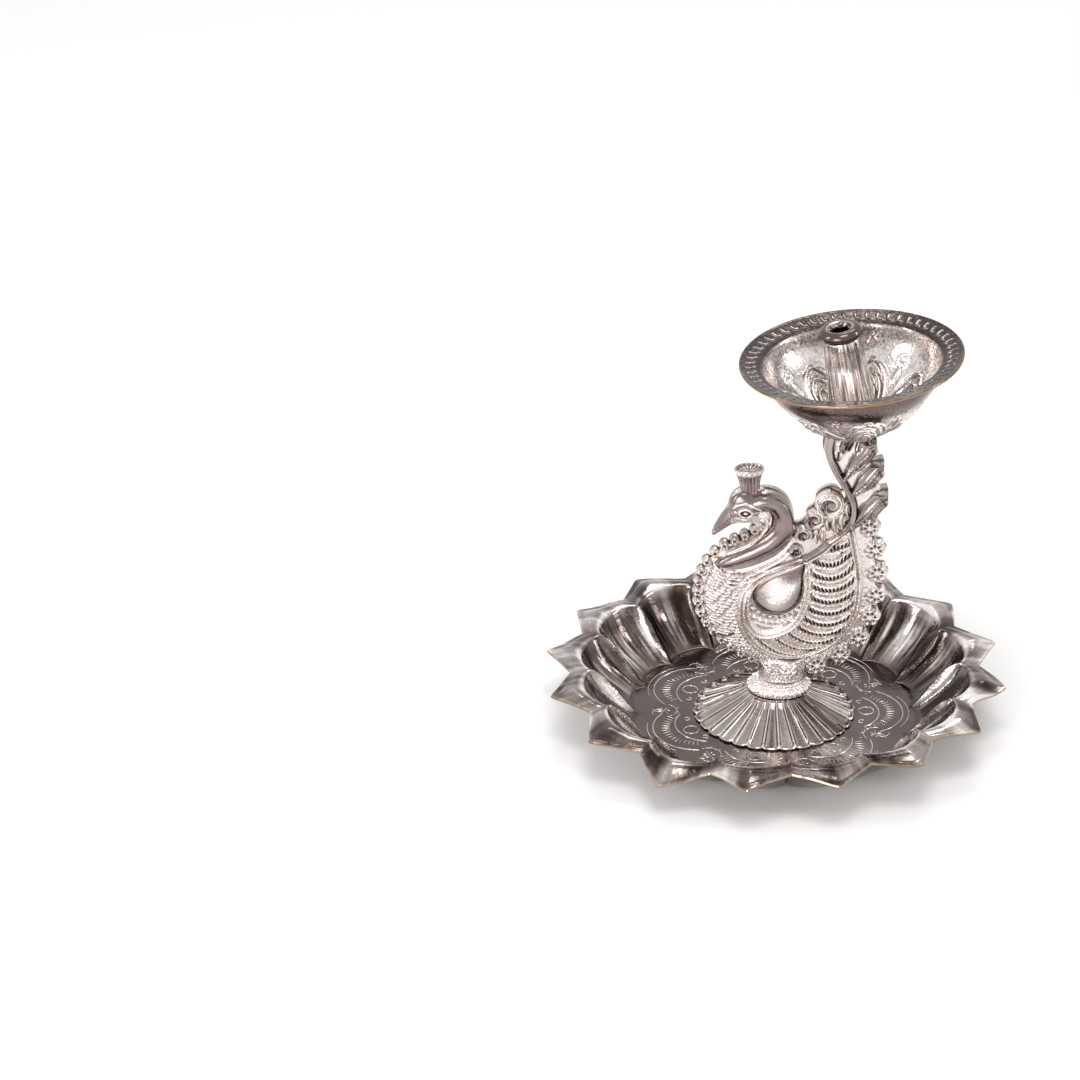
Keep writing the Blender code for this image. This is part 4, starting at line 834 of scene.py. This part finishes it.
def bird_fields():
    """On a fine grid of the bird's side: its silhouette, relief height, polish, and the painted shade of
    its pits.
    """
    x, z = np.meshgrid(np.arange(-24.0, 31.4, PITCH), np.arange(-1.2, 77.6, PITCH))
    body, shape = bird_silhouette(x, z)
    deep = np.maximum(0.0, -shape)
    height = 1.15 + 0.55 * step_between(0.6, 3.2, deep)
    reach = np.sqrt(((x - 1.5) / 21.6) ** 2 + ((z - 26.0) / 20.4) ** 2)
    height = np.maximum(height, 5.3 * np.maximum(0.0, 1 - reach ** 2.8) ** (1 / 2.8))
    tail_head = 3.1 * dome((x - 18.9) / 6.0)
    height = lifted(height, z > 70.6, tail_head)
    shine = np.zeros(x.shape)

    wing = inside_polygon(x, z, spline([p[:2] for p in BAND[8:]], 5, closed=True))
    eye = inside_polygon(x, z, spline(EYE_FRAME, 6, closed=True))
    drop = inside_polygon(x, z, spline(TEARDROP, 6, closed=True))
    on_wing = 0.90 - 0.55 * np.exp(np.minimum(wing, 0) / 6.0)
    height = height + step_between(0.2, -1.2, wing) * on_wing
    height, painted_shade = feather_rows(height, np.zeros(x.shape), x, z, (wing < -1.7) & (eye > 0.75))
    height = height + 0.45 * bell(wing, -1.25, 0.24) - 0.15 * bell(wing, -0.62, 0.3)
    shine = np.where(np.abs(wing + 0.66) < 0.26, 0.55 * (x > 5), shine)
    height, shine = eye_and_drop(height, shine, x, z, eye, drop)
    # Painted shade along the inside of the drop's lower edge
    painted_shade = np.maximum(painted_shade, 0.66 * bell(drop, -0.75, 0.55) * step_between(33.0, 29.0, z))
    breast = (body < -1.5) & (wing > 0.8) & (x < 18) & (z < 35.4) & (z > 11.0)
    height = breast_scales(height, x, z, breast)
    shine = np.where(breast, np.maximum(shine, 0.22), shine)
    calm = np.where(breast, 0.5, np.where(wing > 0.3, 0.45, 0.8))
    sand = (body < -1.2) & (wing > 0.7) & (z < 11.5)
    height = np.where(sand, height + pebbles(x, z), height)
    for number in range(3):
        low = 1.15 * number
        fold = [(-17.9 + 0.4 * number, 34.4 - low), (-15.6, 33.6 - low), (-12.4, 33.0 - low),
                (-9.4, 33.2 - 0.8 * low), (-6.8, 34.4 - 0.5 * low)]
        height = ridge(height, x, z, fold, 0.42, 0.50)
    height, shine = scrolls(height, shine, x, z)
    height, shine = tail_leaves(height, shine, x, z)
    height, shine = head_and_neck(height, shine, x, z)
    for line, size in ((UNDER_NECK, 0.75), (OVER_NECK, 0.7)):
        height = ridge(height, x, z, line, 0.5, size)

    height, shine, painted_shade, calm = beads_and_rosettes(height, shine, painted_shade, calm, x, z)
    height, shine = tail_band(height, shine, x, z)
    height = bird_foot(height, x, z, wing)
    slit = [(-16.9, 14.1), (-15.2, 14.5), (-13.4, 14.7), (-11.8, 15.7)]
    height = ridge(height, x, z, slit, 0.34, -1.3)

    grain = np.random.default_rng(3)
    rough = blurred(grain.normal(0, 1, x.shape), 1) * 0.10 + blurred(grain.normal(0, 1, x.shape), 3) * 0.22
    height = height + rough * (1 - shine) * calm
    height = height * np.sqrt(np.clip(1 - (1 - np.clip(deep / 0.9, 0, 1)) ** 2, 0, 1))
    return x, z, shape, height, shine, painted_shade


def close_back(body):
    """Fills the open rim of a half with flat faces."""
    body.verts.ensure_lookup_table()
    rim = [edge for edge in body.edges if len(edge.link_faces) == 1]
    verts = list({vert for edge in rim for vert in edge.verts})
    order = {vert: number for number, vert in enumerate(verts)}
    flat = [Vector((vert.co.x / MM, vert.co.z / MM)) for vert in verts]
    edges = [(order[edge.verts[0]], order[edge.verts[1]]) for edge in rim]
    _, _, faces, sources, _, _ = delaunay_2d_cdt(flat, edges, [], 1, 1e-7)
    for face in faces:
        corners = [verts[sources[i][0]] for i in face if sources[i]]
        if len(set(corners)) == 3 and not body.faces.get(corners):
            body.faces.new(corners)


def relief_half(name, x, z, shape, height, shine, painted_shade, side):
    """One closed half of the bird: its relief, with its flat back on the seam."""
    rows, cols = x.shape
    inside = shape < 0
    cell = inside[:-1, :-1] | inside[1:, :-1] | inside[:-1, 1:] | inside[1:, 1:]
    used = np.zeros(x.shape, bool)
    for dr in (0, 1):
        for dc in (0, 1):
            used[dr:rows - 1 + dr, dc:cols - 1 + dc] |= cell
    gz, gx = np.gradient(shape, PITCH)
    steep = np.maximum(gx ** 2 + gz ** 2, 0.05)
    outside = used & ~inside
    px = np.where(outside, x - shape * gx / steep, x)
    pz = np.where(outside, z - shape * gz / steep, z)
    high = np.where(outside, 0.0, height)
    index = -np.ones(x.shape, int)
    index[used] = np.arange(used.sum())
    r, c = np.nonzero(cell)
    quads = np.stack([index[r, c], index[r, c + 1], index[r + 1, c + 1], index[r + 1, c]], -1)
    points = np.stack([px[used], side * (HALF_SEAM + high[used]), pz[used] + BIRD_Z], -1)
    obj = new_mesh(name, points, quads)
    # How deep each point lies in a hollow: a golden tint where shallow and painted shade where deep, with
    # the painted shade of the pits on top
    hollow = np.clip((blurred(height, 4) - height - 0.03) * 1.9 * (1 - 0.75 * np.clip(shine, 0, 1)), 0, 1)
    set_finish(obj, shine[used], np.maximum(hollow, painted_shade)[used])
    return smooth(fix_normals(obj, close_back), 60)


def build_bird(metal):
    fields = bird_fields()
    for name, node, side in (("bird_left", "bird_shell_left", -1), ("bird_right", "bird_shell_right", 1)):
        half = relief_half(name, *fields, side)
        dress(half, metal, LAMP, "satin_silver_plate", node)


# Collar and crest

def closed_profile(profile, gap):
    """Even points round a profile that ends where it starts."""
    return resample(np.array(profile + profile[:1]), gap)[:-1]


def build_collar(metal):
    """Frosted oval collar with a flared foot and uneven bosses round it."""
    profile = [(1.7, 3.0), (6.3, 3.15), (6.9, 2.9), (6.75, 2.5), (6.9, 2.2), (7.7, 1.9), (8.4, 1.5),
               (8.75, 1.0), (8.8, 0.45), (8.7, 0.0), (1.7, 0.0)]
    rng = np.random.default_rng(29)
    knobs = [(rng.integers(19, 71), rng.uniform(0, TAU), rng.uniform(0.04, 0.13), rng.uniform(-3, 3))
             for _ in range(10)]

    def wave(radius, height, angle):
        lower = bell(height, 1.0, 0.7)
        outer = (radius > 5.0) & (height > 0.05)
        grow = sum(size * np.sin(k * angle + phase + bend * height) for k, phase, size, bend in knobs)
        grow = 0.75 * grow + 0.14 * lower * np.cos(26 * angle + np.sin(5 * angle))
        return radius + grow * outer, height + 0.35 * grow * outer * (height > 1.3)

    collar = turned("bird_collar", closed_profile(profile, 0.22), 320, wave)
    collar.data.transform(Matrix.Diagonal((1.0, 0.83, 1.0, 1.0)))
    collar.data.transform(Matrix.Translation((1.2 * MM, 0.0, 8.4 * MM)))
    smooth(collar, 60)
    none = np.zeros(len(collar.data.vertices))
    set_finish(collar, none, none)
    dress(collar, metal, LAMP, "satin_silver_plate", "foot_collar")


CREST_PLACE = (Matrix.Translation((-8.0 * MM, 0.0, (BIRD_Z + 58.6) * MM))
               @ Matrix.Rotation(math.radians(-3), 4, "Y"))


def build_crest(metal):
    """Fluted crown with a dished top, a rim and a row of bosses under it."""
    profile = [(0.0, 5.0), (1.6, 5.1), (3.1, 5.35), (3.5, 5.75), (3.8, 6.0), (4.05, 5.9), (4.05, 5.6),
               (3.9, 5.2), (3.72, 4.6), (3.45, 3.8), (3.15, 2.8), (2.9, 1.8), (2.75, 0.8), (2.7, -1.2),
               (2.4, -1.5), (1.1, -1.6), (1.1, -2.4), (0.0, -2.4)]
    cols = 240
    angle = turn_steps(cols)
    rows, shine, tint_and_shade = [], [], []
    for radius, height in resample(np.array(profile), 0.13):
        fluted = step_between(4.3, 3.8, height) * step_between(-1.3, -0.7, height)
        groove = np.abs(np.sin(8 * angle)) ** 5
        boss = 0.42 * bell(height, 4.85, 0.42) * np.maximum(0, np.cos(16 * angle)) ** 0.7
        dish = 0.06 * (height > 4.95) * (radius < 3.3) * np.cos(16 * angle) * radius / 3.3
        wide = radius + (boss * (radius > 3.3) - 0.42 * fluted * groove) * (radius > 1.3)
        flat = 0.74 if radius > 1.2 else 1.0
        rows.append(np.stack([wide * np.cos(angle), flat * wide * np.sin(angle), height + dish], -1))
        rim = 0.75 * bell(height, 5.85, 0.35)
        in_dish = float(height > 4.9 and radius < 3.4)
        shine.append(np.clip(0.95 * fluted - 0.5 * groove + rim + 0.85 * in_dish, 0, 1) + 0 * angle)
        # Painted shade in the flute grooves, under the row of bosses, and in lobes across the dished top;
        # the dish also takes the golden tint
        shade_under_boss = 0.4 * bell(height, 4.25, 0.16) * (radius > 3)
        tint_and_shade.append(0.7 * fluted * groove + shade_under_boss + in_dish * (0.55 + 0.25 * np.cos(16 * angle)))
    points = np.array(rows)
    points[0] = points[0].mean(0)
    points[-1] = points[-1].mean(0)
    crest = new_mesh("bird_crest", points, grid_quads(len(points), cols, False, True))
    set_finish(crest, shine, tint_and_shade)
    fix_normals(crest, lambda body: bmesh.ops.remove_doubles(body, verts=body.verts, dist=1e-6))
    crest.data.transform(CREST_PLACE)
    smooth(crest, 60)
    dress(crest, metal, LAMP, "satin_silver_plate", "crest")


# Cup and wick tube

CUP_TILT = Matrix.Rotation(math.radians(-5.0), 4, "Y") @ Matrix.Rotation(math.radians(-1.2), 4, "X")
CUP_PLACE = Matrix.Translation((20.108 * MM, 0.046 * MM, 88.191 * MM)) @ CUP_TILT
TUBE_PLACE = (Matrix.Translation((20.012 * MM, 0.069 * MM, 89.287 * MM)) @ CUP_TILT
              @ Matrix.Rotation(math.radians(-5.2), 4, "Y"))
CUP_ARCHES, BORDER_MARKS = 7, 56
CUP_WALL = [(1.6, 0.8), (6.4, 0.8), (7.6, 1.0), (10.6, 3.0), (14.2, 5.6), (17.2, 8.4), (19.5, 10.9),
            (21.4, 13.2), (22.7, 15.4), (23.4, 17.4), (23.8, 19.0), (24.3, 19.75), (25.4, 20.0),
            (27.4, 20.5), (29.4, 20.95), (30.0, 20.85)]


def bowl_relief(line, lengths, angle, radius, up, start):
    """Seven nested arches round the bowl, and a rosette over a leaf between each two."""
    turn = (angle - math.radians(20.4)) / (TAU / CUP_ARCHES)
    across = (turn - np.round(turn))[None, :] * (TAU / CUP_ARCHES) * radius
    arch_top = np.interp(19.4, line[:, 0], lengths)
    relief = np.zeros(radius.shape)
    for scale, size in ((1.0, 0.56), (0.70, 0.50), (0.40, 0.45)):
        half_width = 5.6 * scale
        tall = (arch_top - start) * (0.30 + 0.70 * scale)
        v = np.clip((up - start) / tall, 0, None)
        low = np.minimum(v, 1)
        side = np.sqrt(np.maximum(0.0, 1 - low ** 2.8)) * half_width * (0.80 + 0.20 * low)
        away = np.where(v > 1, np.hypot(across, (v - 1) * tall), np.abs(np.abs(across) - side))
        within = (np.abs(across) < side) & (v < 1)
        arch = size * bell(away, 0, 0.44) - 0.36 * bell(away, 0.84, 0.26) - 0.16 * within
        relief += arch * step_between(-0.3, 0.4, up - start)
    between = ((turn - 0.5) - np.round(turn - 0.5))[None, :] * (TAU / CUP_ARCHES) * radius
    middle = np.interp(20.2, line[:, 0], lengths)
    r, a = polar(between, up, 0, middle)
    relief += 0.5 * dome(r / 2.3) * (0.75 + 0.35 * np.cos(FLOWER_LOBES * a))
    relief += 0.4 * bell(r, 0, 0.5) - 0.4 * bell(r, 0.95, 0.3) * (r < 2.3)
    leaf = np.hypot(between / 0.9, (up - middle + 4.8) / 2.4)
    relief += 0.45 * dome(leaf) - 0.2 * bell(leaf, 1.25, 0.2)
    return relief


def cup_surface():
    """Upper face of the cup, its tone and its relief: the embossed bowl and the marked border; the tone
    holds painted highlights, painted shade and painted reflections.
    """
    line = resample(spline(CUP_WALL, 6), 0.20)
    cols = CUP_ARCHES * 112
    angle = turn_steps(cols)
    lengths = lengths_along(line)
    radius, height = line[:, :1] + 0 * angle, line[:, 1:2] + 0 * angle
    up = lengths[:, None] + 0 * radius
    tangent = np.gradient(line, axis=0)
    tangent /= np.linalg.norm(tangent, axis=1, keepdims=True)
    normal = np.stack([-tangent[:, 1], tangent[:, 0]], -1)
    start = np.interp(7.6, line[:, 0], lengths)
    relief = bowl_relief(line, lengths, angle, radius, up, start)
    # Marks on the border: small commas, each leaning from a dot
    border_start = np.interp(24.6, line[:, 0], lengths)
    border_end = np.interp(29.7, line[:, 0], lengths)
    w = (up - border_start) / (border_end - border_start)
    m = angle[None, :] * BORDER_MARKS / TAU
    side_way = (m - np.round(m)) * (TAU / BORDER_MARKS) * radius
    curl = side_way - 0.75 * np.sin((w - 0.15) * 3.2)
    mark = 0.24 * bell(curl, 0, 0.26) * step_between(0.20, 0.32, w) * step_between(0.80, 0.66, w)
    mark += 0.26 * bell(np.hypot(side_way + 0.35, (w - 0.28) * 5.2), 0, 0.45)
    rim = 0.22 * bell(w, 1.02, 0.05)
    bowl = step_between(border_start - 0.4, border_start - 1.6, up)
    rng = np.random.default_rng(11)
    grain = blurred(rng.normal(0, 1, radius.shape), 1)
    clouds = blurred(rng.normal(0, 1, radius.shape), 6)
    # Painted light and shade from the relief: raised arches lighter, grooves darker; grain and clouds at
    # random
    tone = 0.83 + 0.70 * np.maximum(relief, -0.28) + 0.10 * grain + 0.32 * clouds
    # Painted shade high on the far wall, just below the border
    back_wall_shade = (0.5 + 0.5 * np.cos(angle - math.radians(95))) ** 9
    tone = tone - 0.30 * bell(up - border_start, -3.2, 2.2) * back_wall_shade * (0.8 + 3 * np.abs(grain))
    # The border: a painted, darker reflection, with painted highlights on its marks and on the rim bead
    tone = tone * bowl + (1 - bowl) * (0.09 + 2.3 * mark + 0.6 * rim + 0.3 * grain)
    # A painted highlight along the bowl's lip, inside the border
    lip_highlight = bell(up - border_start, -0.9, 0.5)
    tone = tone + 0.45 * lip_highlight * (0.4 + 0.6 * np.sin(angle * 3 + 0.7) ** 2)
    # Painted shade: a darker line at the border's inner edge
    tone = tone - 0.3 * bell(w, 0.02, 0.08)
    relief += mark + rim + 0.035 * bowl * grain * (up > start)
    radius = radius + relief * normal[:, :1]
    height = height + relief * normal[:, 1:2]
    return around(radius, angle, height), np.clip(tone, 0.03, 1.0), relief


def build_cup(metal):
    points, tone, relief = cup_surface()
    cup = sheet_piece("flared_cup", points, 0.7, rim=0.5)
    cup.data.transform(CUP_PLACE)
    smooth(cup, 60)
    radii = np.hypot(points[..., 0], points[..., 1])
    band = step_between(19.6, 21.4, radii)
    # Underside tone: painted shade under the raised relief, and a set tone under the border
    under = np.clip(0.79 - 0.80 * relief, 0.05, 1.0) * (1 - band) + 0.34 * band
    edge = np.zeros(tone.shape)
    edge[-2:] = 0.5
    set_tone(cup, sheet_values(tone, 0.6, 0.4, under=under), sheet_values(edge, 1.0, 0.0, under=edge))
    dress(cup, metal, LAMP, "polished_silver_plate", "oil_cup")


def build_seat(metal):
    profile = [(1.6, 1.6), (4.2, 1.65), (4.7, 1.4), (4.95, 0.9), (4.8, 0.35), (4.5, 0.0), (1.6, 0.0)]
    seat = turned("cup_foot_ring", closed_profile(profile, 0.25), 96,
                  lambda r, h, a: (r + 0.12 * (r > 4) * np.cos(18 * a), h))
    seat.data.transform(CUP_PLACE @ Matrix.Translation((0, 0, -1.9 * MM)))
    smooth(seat, 60)
    set_tone(seat, 0.5)
    dress(seat, metal, LAMP, "polished_silver_plate", "cup_seat")


def build_tube(metal):
    """Tapered tube with a torus lip, whose inner edge is crimped in folds."""
    length, neck_z = 29.2, 26.2
    lip_radius, lip_z = 1.72, length - 1.75
    lip = [(4.12 + lip_radius * math.cos(math.radians(a)), lip_z + lip_radius * math.sin(math.radians(a)))
           for a in range(150, -76, -15)]
    outer = [(2.4, length - 2.6), (2.45, length - 1.4)] + lip[1:] + [
        (4.75, neck_z - 0.4), (5.0, neck_z - 2.0), (5.4, 20.0), (5.75, 14.0), (6.1, 7.0), (6.4, 2.0),
        (6.5, 0.12), (5.75, 0.12), (5.4, 7.0), (5.0, 14.0), (4.6, 20.0), (3.9, neck_z - 1),
        (2.9, length - 3.4)]
    profile = resample(spline(outer, 4, closed=True), 0.24)[:-1]
    rng = np.random.default_rng(5)
    cols = 288
    streaks = rng.normal(0, 1, cols)
    streaks = (streaks + np.roll(streaks, 1) + np.roll(streaks, 2)) / 1.8
    drift = [(rng.integers(7, 40), rng.uniform(0, TAU), rng.uniform(-0.5, 0.5)) for _ in range(8)]
    tones = {}

    def wave(radius, height, angle):
        on_body = step_between(neck_z - 0.4, neck_z - 2.5, height) * (radius > 4.7)
        wander = sum(np.sin(k * angle + phase + bend * height) for k, phase, bend in drift) / 4.0
        grow = (0.050 * streaks[None, :] + 0.06 * wander) * (0.7 + 0.5 * np.sin(height * 0.45) ** 2)
        inner = (height > length - 2.9) * step_between(3.5, 2.6, radius)
        fold = np.cos(6 * angle + 0.5 * np.sin(2 * angle))
        in_lip = step_between(neck_z - 0.6, neck_z + 0.4, height)
        tone = 0.82 + 0.19 * streaks[None, :]
        tone = tone + 0.22 * wander * (0.4 + np.sin(height * 0.33 + 2 * angle) ** 2)
        # The lip: a painted, darker reflection, with painted highlights on its top ring and on the crimped
        # folds
        ring = bell(radius, 3.5, 0.35) * (height > length - 1.0)
        on_lip = 0.26 + 0.45 * ring + 0.30 * inner * fold
        tones["tube"] = np.clip(tone * (1 - in_lip) + on_lip * in_lip, 0.05, 1.0)
        return radius + grow * on_body + 0.34 * fold * inner, height + 0.22 * np.cos(6 * angle + 1) * inner

    tube = turned("wick_tube_shell", profile, cols, wave)
    tube.data.transform(TUBE_PLACE)
    up = CUP_PLACE.to_3x3() @ Vector((0, 0, 1))
    origin = CUP_PLACE @ Vector((0, 0, (SHEET + 0.3) * MM))
    for vert in tube.data.vertices:
        short = (vert.co - origin).dot(up)
        if short < 0:
            vert.co -= up * short
    smooth(tube, 60)
    set_tone(tube, tones["tube"])
    dress(tube, metal, TUBE, "polished_silver_plate", "wick_tube")


# Materials

def feed(socket, value):
    """Gives a socket a number, a colour or the output of another node."""
    if isinstance(value, bpy.types.NodeSocket):
        socket.id_data.links.new(value, socket)
    else:
        socket.default_value = (*value, 1.0) if isinstance(value, tuple) else value


def add_node(tree, kind, inputs, output, **settings):
    """A node with its settings made and its inputs fed, and one of its outputs."""
    node = tree.nodes.new("ShaderNode" + kind)
    for name, value in settings.items():
        setattr(node, name, value)
    for name, value in inputs.items():
        feed(node.inputs[name], value)
    return node.outputs[output]


def new_material(name):
    """A material, its node tree and the inputs of its shader."""
    material = bpy.data.materials.new(name)
    material.use_nodes = True
    tree = material.node_tree
    return material, tree, tree.nodes["Principled BSDF"].inputs


def noise(tree, scale, detail=4.0, rough=0.55):
    inputs = {"Scale": scale, "Detail": detail, "Roughness": rough}
    inputs["Vector"] = add_node(tree, "TexCoord", {}, "Object")
    return add_node(tree, "TexNoise", inputs, "Fac")


def ramp(tree, source, stops):
    colour = add_node(tree, "ValToRGB", {"Fac": source}, "Color")
    elements = colour.node.color_ramp.elements
    while len(elements) < len(stops):
        elements.new(0.5)
    for element, (place, value) in zip(elements, stops):
        element.position = place
        element.color = (*value, 1.0) if isinstance(value, tuple) else (value, value, value, 1.0)
    return colour


def mix_colour(tree, factor, first, second):
    return add_node(tree, "Mix", {"Factor": factor, "A": first, "B": second}, "Result", data_type="RGBA")


def math_node(tree, operation, *values):
    return add_node(tree, "Math", dict(enumerate(values)), "Value", operation=operation)


def value_of(tree, name):
    return add_node(tree, "Attribute", {}, "Fac", attribute_name=name)


def bump(tree, source, strength, distance):
    return add_node(tree, "Bump", {"Strength": strength, "Distance": distance, "Height": source}, "Normal")


def toned_plate(name, rough, wave, fine=0.0):
    """Silver plate coloured by its tone, 0 deepest and 1 palest, which holds tarnish and wear and also
    painted shade, painted highlights and painted reflections; brass shows where it is bare.
    """
    material, tree, shader = new_material(name)
    feed(shader["Metallic"], 1.0)
    tone = value_of(tree, "tone")
    for scale, detail, coarse, size in ((55.0, 6.0, 0.62, 0.42), (1400.0, 2.0, 0.55, 0.10 + fine)):
        spots = math_node(tree, "SUBTRACT", noise(tree, scale, detail, coarse), 0.5)
        tone = math_node(tree, "ADD", tone, math_node(tree, "MULTIPLY", spots, size))
    bare = math_node(tree, "MULTIPLY", value_of(tree, "bare"), 0.7)
    feed(shader["Base Color"], mix_colour(tree, bare, ramp(tree, tone, TONES), BRASS))
    feed(shader["Roughness"], math_node(tree, "MULTIPLY_ADD", noise(tree, 620.0, 3.0), 0.09, rough))
    source = noise(tree, 160.0, 5.0, 0.65)
    if fine:
        source = math_node(tree, "ADD", source, math_node(tree, "MULTIPLY", noise(tree, 1300.0, 3.0), fine))
    feed(shader["Normal"], bump(tree, source, wave, 0.0006))
    return material


def frosted_plate():
    """Frosted silver plate, polished where the shine value says, golden in hollows, and near black with
    painted shade in pits and deep hollows.
    """
    material, tree, shader = new_material("frosted_silver")
    shine, tint_and_shade = value_of(tree, "shine"), value_of(tree, "tint_and_shade")
    clouds = ramp(tree, noise(tree, 110.0, 5.0, 0.6), [(0.35, 0.0), (0.7, 1.0)])
    base = mix_colour(tree, clouds, (0.84, 0.78, 0.76), (0.69, 0.62, 0.60))
    taupe = mix_colour(tree, clouds, (0.30, 0.248, 0.24), (0.19, 0.152, 0.147))
    warm = mix_colour(tree, ramp(tree, tint_and_shade, [(0.02, 0.0), (0.40, 0.85)]), base, (0.60, 0.50, 0.43))
    plate = mix_colour(tree, shine, warm, taupe)
    # Painted shade: pits and deep hollows go near black
    pits = mix_colour(tree, ramp(tree, tint_and_shade, [(0.36, 0.0), (0.95, 1.0)]), plate, (0.075, 0.052, 0.045))
    feed(shader["Base Color"], pits)
    feed(shader["Metallic"], add_node(tree, "MapRange", {"To Min": 0.80, "Value": shine}, "Result"))
    grain = noise(tree, 900.0, 3.0)
    dull = math_node(tree, "MULTIPLY_ADD", grain, 0.18, 0.17)
    glossy = math_node(tree, "MULTIPLY_ADD", grain, 0.05, 0.08)
    feed(shader["Roughness"], add_node(tree, "Mix", {0: shine, 2: dull, 3: glossy}, 0))
    feed(shader["Normal"], bump(tree, noise(tree, 1500.0, 4.0, 0.7), 0.34, 0.00016))
    return material


def plain_steel():
    material, tree, shader = new_material("plain_steel_finish")
    clouds = noise(tree, 300.0, 4.0)
    feed(shader["Metallic"], 1.0)
    feed(shader["Base Color"], mix_colour(tree, clouds, (0.55, 0.54, 0.52), (0.42, 0.40, 0.38)))
    feed(shader["Roughness"], math_node(tree, "MULTIPLY_ADD", clouds, 0.2, 0.25))
    return material


# Stage, lights, camera

CAMERA_IN_TRAY_RADII, CAMERA_DOWN, CAMERA_LENS = (-1.015, -18.91, 11.089), 28.4585, 168.26


def build_stage():
    mesh = bpy.data.meshes.new("floor")
    corners = [(x, y, 0) for x, y in ((-3, -3), (3, -3), (3, 3), (-3, 3))]
    mesh.from_pydata(corners, [], [(0, 1, 2, 3)])
    floor = add_object("floor", mesh)
    floor.location.z = -0.0002
    material, _, shader = new_material("floor_white")
    feed(shader["Base Color"], (0.95, 0.95, 0.95))
    feed(shader["Roughness"], 0.9)
    mesh.materials.append(material)

    world = bpy.data.worlds.new("studio")
    bpy.context.scene.world = world
    world.use_nodes = True
    tree = world.node_tree
    path = add_node(tree, "LightPath", {}, "Is Camera Ray").node.outputs
    seen = math_node(tree, "MAXIMUM", path["Is Camera Ray"], path["Is Glossy Ray"])
    seen = math_node(tree, "MAXIMUM", seen, path["Is Transmission Ray"])
    back = tree.nodes["Background"].inputs
    feed(back["Color"], mix_colour(tree, seen, (0.68, 0.67, 0.66), (1.0, 1.0, 1.0)))
    feed(back["Strength"], 1.0)


def add_light(name, place, target, size, power, colour=(1, 1, 1), size_y=None):
    light = bpy.data.lights.new(name, "AREA")
    light.shape = "RECTANGLE"
    light.size = size
    light.size_y = size_y or size
    light.energy = power
    light.color = colour
    obj = add_object(name, light)
    obj.location = place
    obj.rotation_euler = (Vector(target) - Vector(place)).to_track_quat("-Z", "Y").to_euler()


def build_lights():
    middle = (0.0, 0.0, 0.05)
    add_light("top", (0.02, -0.20, 0.75), middle, 0.30, 1.5, (1.0, 0.97, 0.95))
    add_light("left", (-0.75, -0.10, 0.40), middle, 0.14, 1.5, size_y=0.40)
    add_light("right", (0.75, 0.00, 0.42), middle, 0.12, 1.2, size_y=0.35)
    add_light("front", (-0.45, -0.75, 0.45), middle, 0.18, 1.2)
    add_light("low", (-0.40, -0.88, 0.25), middle, 0.60, 3.0, size_y=0.36)
    add_light("back", (0.05, 0.50, 0.82), middle, 0.40, 1.4, size_y=0.24)


def build_camera():
    data = bpy.data.cameras.new("camera")
    camera = add_object("camera", data)
    x, y, z = (TIP * MM * times for times in CAMERA_IN_TRAY_RADII)
    camera.location = (x, y, z + SHEET * MM)
    camera.rotation_euler = (math.radians(90 - CAMERA_DOWN), 0, 0)
    data.sensor_width = 36.0
    data.lens = CAMERA_LENS
    data.clip_start = 0.05
    data.clip_end = 20.0
    bpy.context.scene.camera = camera


def main():
    bpy.context.scene.view_settings.view_transform = "Standard"
    mirror = toned_plate("polished_silver", 0.06, 0.32)
    cone_metal = toned_plate("cone_silver", 0.11, 0.15)
    cup_metal = toned_plate("cup_silver", 0.12, 0.16, fine=0.22)
    tube_metal = toned_plate("tube_silver", 0.08, 0.35)
    frosted = frosted_plate()
    steel = plain_steel()
    build_stage()
    build_camera()
    build_tray(mirror)
    build_cone(cone_metal)
    build_collar(frosted)
    build_bird(frosted)
    build_crest(frosted)
    build_cup(cup_metal)
    build_seat(tube_metal)
    build_tube(tube_metal)
    for name in ("foot_screw", "foot_washer", "foot_nut", "cup_washer", "cup_screw"):
        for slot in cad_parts[name].material_slots:
            slot.material = steel
    build_lights()


main()
